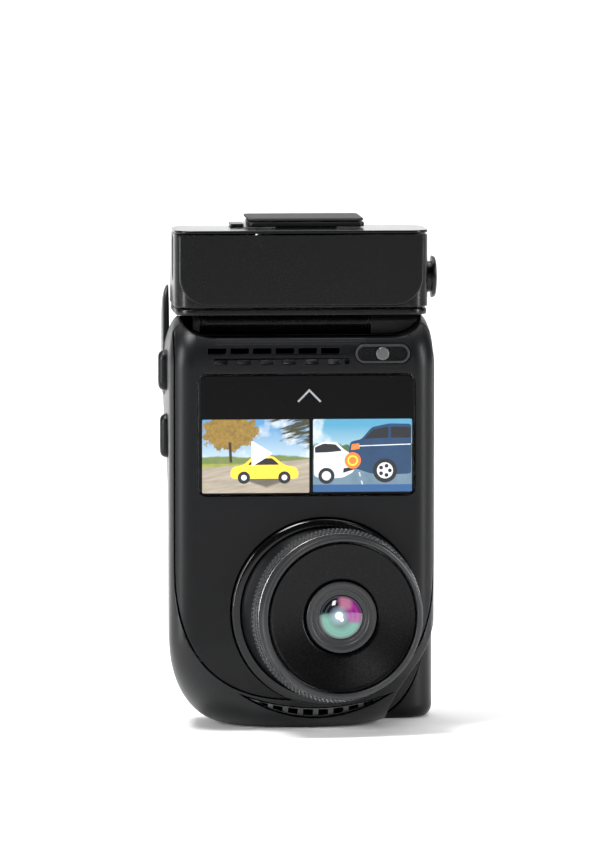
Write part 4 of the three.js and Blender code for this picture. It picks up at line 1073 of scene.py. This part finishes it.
case = mount_block("mount_case", 91.8, 107.5, 0.0, 0.3)
brow_outline = [(-20.4, 92.2), (20.0, 92.2)]
for k in range(13):
    t = math.pi / 2 * k / 12
    brow_outline.append((20.0 + 6.2 * math.sin(t), 98.6 - 6.4 * math.cos(t)))
brow_outline += [(26.2, 110), (-26.6, 110)]
for k in range(13):
    t = math.pi / 2 * (1 - k / 12)
    brow_outline.append((-20.4 - 6.2 * math.sin(t), 98.6 - 6.4 * math.cos(t)))
brow = prism("brow", brow_outline, "y", -13.45, -12.0, 0.4, 4)
combine(brow, [block("top", -40, 40, -20, 0, 107.5, 112)])
combine(case, [brow], "UNION")
combine(case, [
    mount_block("hollow", 90.8, 108.5, 1.8),
    prism("inlet", rounded_rect(4.4, 10.2, 2.19, HINGE_Y, INLET_Z, 12), "x", -34, -24),
    rod("latch", "x", 4.0, 24, 34, RELEASE_Y, RELEASE_Z, 48),
    block("gate", PLATE_X - 10.3, PLATE_X + 10.3, 2, 20, 102, 108)])
hand_in(case, "mount", "satin_black", MOUNT, "mount_shell", sharp=24)

lid = mount_block("mount_cover", 107.8, 108.5, 0.0, 0.2)
combine(lid, [block("slot", PLATE_X - 7, PLATE_X + 7, PLATE_Y - PLATE_LONG / 2 + 0.7, 20, 100, 112)])
hand_in(lid, "mount", "gloss_black", LID, "mount_lid")

inlet = prism("inlet_shell", rounded_rect(3.2, 9, 1.59, HINGE_Y, INLET_Z, 12), "x", -27.1, -20.1, 0.12)
combine(inlet, [prism("inside", rounded_rect(2.5, 8.3, 1.24, HINGE_Y, INLET_Z, 12), "x", -28.1, -20.9)])
hand_in(inlet, "mount", "steel", STEEL, "power_inlet")

button = turned("release_cap",
                [(0, 28.65), (4.6, 28.65), (4.6, 28.9), (4.35, 29.4), (3.8, 29.65), (2.4, 29.82),
                 (0, 29.9)],
                lambda a, b, d: (d, RELEASE_Y + a, RELEASE_Z + b), 64)
combine(button, [rod("stem", "x", 3.4, 14.2, 28.9, RELEASE_Y, RELEASE_Z, 40, 0.2)], "UNION")
hand_in(button, "release_button", "satin_black", MOUNT, "release_button")

# ---------------------------------------------------------------- windscreen plate
plate = prism("windscreen_slide", rounded_rect(PLATE_WIDE, PLATE_LONG, 1.5, PLATE_X, PLATE_Y), "z",
              PLATE_Z, PLATE_Z + 1.0, 0.25)
combine(plate, [
    block("neck", PLATE_X - 6.7, PLATE_X + 6.7, -3, 7, 103.6, 109.0),
    block("head", PLATE_X - 8.7, PLATE_X + 8.7, -3, 7, 103.6, 105.6)], "UNION")
eased(plate, 0.1)
hand_in(plate, "windscreen_plate", "satin_black", SATIN, "windscreen_plate")
pad = prism("foam_pad", rounded_rect(PLATE_WIDE - 0.4, PLATE_LONG - 0.4, 1.3, PLATE_X, PLATE_Y), "z",
            110.1, 110.7, 0.2)
hand_in(pad, "windscreen_plate", "adhesive_foam", FOAM, "adhesive_pad")
left = PLATE_X - PLATE_WIDE / 2 - GAP
tab = prism("film_end", softened([(-2.5, 108.6), (12, 108.6), (12, 110.7), (-2.5, 110.7)], 0.2), "x",
            left - 0.35, left, 0.05)
tongue_tab = prism("film_tongue",
                   softened([(left - 3.2, 0), (left - 0.4, 0), (left - 0.4, 9), (left - 3.2, 9)], 0.8),
                   "z", 108.62, 109.3, 0.2)
hand_in(tongue_tab, "windscreen_plate", "film", SATIN)
hand_in(tab, "windscreen_plate", "film", FILM, "liner_pull_tab")


# ---------------------------------------------------------------- module that looks at the road
def pod_ring(z, inset=0.0):
    draw = 2 * draw_in(max(0.0, 1 - z / 3)) + 4 * draw_in(max(0.0, (z - POD_TOP + 5) / 5)) + inset
    half = (POD_RIGHT - POD_LEFT) / 2 - draw
    corner = 7 - draw / 2
    return section(z, half, half, POD_FRONT + draw, POD_BACK - draw, corner, corner, corner,
                   (POD_LEFT + POD_RIGHT) / 2, 12)


pod_levels = [3 * (1 - math.sin(math.radians(a))) for a in range(90, 0, -10)] + [3, 9, 15, 22, 29]
pod_levels += [29 + 5 * math.sin(math.radians(a)) for a in range(8, 91, 8)] + [34]
pod = loft("road_camera_case", [pod_ring(z) for z in pod_levels])
combine(pod, [
    block("hollow", POD_LEFT + 4, POD_RIGHT - 4.5, 9, POD_BACK - 2.2, 3, POD_TOP - 4),
    body_loft("body", -GAP),
    rod("bore", "y", 6.3, 15, 30, ROAD_X, ROAD_Z, 64)])
eased(pod, 0.15)
hand_in(pod, "camera", "satin_black", SATIN, "road_camera_housing")
road_ring = turned("road_ring", [
    (6.6, 24.3), (10.4, 24.3), (10.4, 26.1), (10.2, 26.6), (9.8, 26.95), (9.3, 27.0), (8.6, 26.9),
    (7.4, 26.3),
    (7.0, 26.0), (6.6, 25.7)], road_place, 128)
hand_in(road_ring, "camera", "gloss_black", GLOSS, "road_lens_ring")
road_barrel = turned("road_barrel", [
    (4.4, 16), (6.0, 16), (6.0, 25.7), (5.8, 26.0), (5.4, 26.0), (5.2, 25.7), (4.9, 25.6), (4.4, 25.2)],
    road_place, 96)
hand_in(road_barrel, "camera", "satin_grey", THROAT, "road_lens_barrel")
dome = [(4.0 * math.cos(math.radians(a)), 24.9 + 1.1 * math.sin(math.radians(a))) for a in range(0, 90, 9)]
road_glass = turned("road_glass", [(0, 24.4), (4.1, 24.4), (4.1, 24.9), *dome, (0, 26.0)], road_place, 80)
hand_in(road_glass, "camera", "coated_glass", ROAD_GLASS, "road_lens_glass")

card = prism("card_body",
             softened([(14, 54.6), (28.2, 54.6), (28.4, 55.2), (28.4, 64.8), (28.2, 65.4), (14, 65.4)],
                      0.3),
             "y", 5.2, 6.2, 0.12)
hand_in(card, "memory_card", "component_black", CHIP, "memory_card")

# ---------------------------------------------------------------- pieces kept from the CAD model
KEPT = {
    "display_panel": PANEL, "chassis": ALUMINIUM, "main_circuit_board": BOARD, "processor": CHIP,
    "heat_sink": ALUMINIUM, "supercapacitor_1": FOAM, "supercapacitor_2": FOAM, "card_socket": STEEL,
    "speaker": CHIP, "dome_switch_1": STEEL, "dome_switch_2": STEEL, "side_button_board": BOARD,
    "gimbal_post": SIDE, "gimbal_block": STEEL, "lens_carrier": SIDE, "turret": SATIN, "lens_barrel": KNURL,
    "image_sensor_board": BOARD, "hinge_shaft": STEEL, "friction_washer_left": SATIN,
    "friction_washer_right": SATIN, "rail_channel": SIDE, "mount_circuit_board": BOARD,
    "inlet_tongue": COPPER,
    "release_spring": STEEL, "road_sensor_board": BOARD,
}
for name, material in KEPT.items():
    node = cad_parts[name]
    node.data.materials.clear()
    node.data.materials.append(material)

# ---------------------------------------------------------------- floor, light and camera
def studio_white(name, colour):
    f = Finish(name, Roughness=0.85)
    shade = f.noise(3.0, 2.0)
    f.set("Base Color", f.mix(shade, (*colour, 1), tuple(c * 0.985 for c in colour) + (1,)))
    return f.material


sweep = [(-2500, 0)] + [(1400 + 600 * math.sin(math.radians(a)), 600 * (1 - math.cos(math.radians(a))))
                        for a in range(0, 91, 6)] + [(2000, 2600)]
points = [(x, y, z - 0.02) for x in (-3000, 3000) for y, z in sweep]
count = len(sweep)
floor = build("floor", points, [(i, i + 1, count + i + 1, count + i) for i in range(count - 1)])
floor.data.shade_smooth()
floor.data.materials.append(studio_white("pale_floor", (0.82, 0.82, 0.825)))


def softbox(name, spot, aim, wide, high, watts, colour=(1, 1, 1)):
    lamp = bpy.data.lights.new(name, "AREA")
    lamp.shape, lamp.size, lamp.size_y, lamp.energy, lamp.color = "RECTANGLE", wide, high, watts, colour
    holder = bpy.data.objects.new(name, lamp)
    bpy.context.scene.collection.objects.link(holder)
    holder.location = spot
    holder.rotation_euler = (Vector(aim) - Vector(spot)).to_track_quat("-Z", "Y").to_euler()


softbox("key", (-0.5, -0.3, 1.5), (0, 0, 0.05), 0.5, 0.5, 26)
softbox("right_edge", (1.25, -0.55, 0.45), (0, 0, 0.06), 0.2, 1.0, 17)
softbox("left_edge", (-1.25, -0.5, 0.4), (0, 0, 0.06), 0.2, 1.0, 24)
softbox("front_glint", (0.38, -1.86, 0.46), (0, 0, 0.03), 0.16, 0.3, 1.6)
softbox("top", (0.15, 0.35, 1.5), (0, 0.1, 0.1), 1.4, 0.9, 15)
softbox("back", (0, 0.9, 1.5), (0, 2.0, 0.3), 2.6, 0.8, 30)
world = bpy.data.worlds.new("studio")
world.use_nodes = True
sky = Wiring(world.node_tree)
seen = sky.node("ShaderNodeLightPath")
world.node_tree.nodes["Background"].inputs["Color"].default_value = (1, 1, 1, 1)
sky.feed(world.node_tree.nodes["Background"].inputs["Strength"], 0.04 + seen * 0.94)
bpy.context.scene.world = world
bpy.context.scene.view_settings.view_transform = "Standard"

turn, rise, reach = math.radians(-4), math.radians(5), 1.8
back = Vector((math.sin(turn) * math.cos(rise), -math.cos(turn) * math.cos(rise), math.sin(rise)))
lens = bpy.data.cameras.new("camera")
lens.sensor_width, lens.lens = 36, 36 * reach / 0.186
camera = bpy.data.objects.new("camera", lens)
bpy.context.scene.collection.objects.link(camera)
camera.location = Vector((0.0004, 0, 0.056)) + back * reach
camera.rotation_euler = (Vector((0.0004, 0, 0.065)) - camera.location).to_track_quat("-Z", "Y").to_euler()
bpy.context.scene.camera = camera
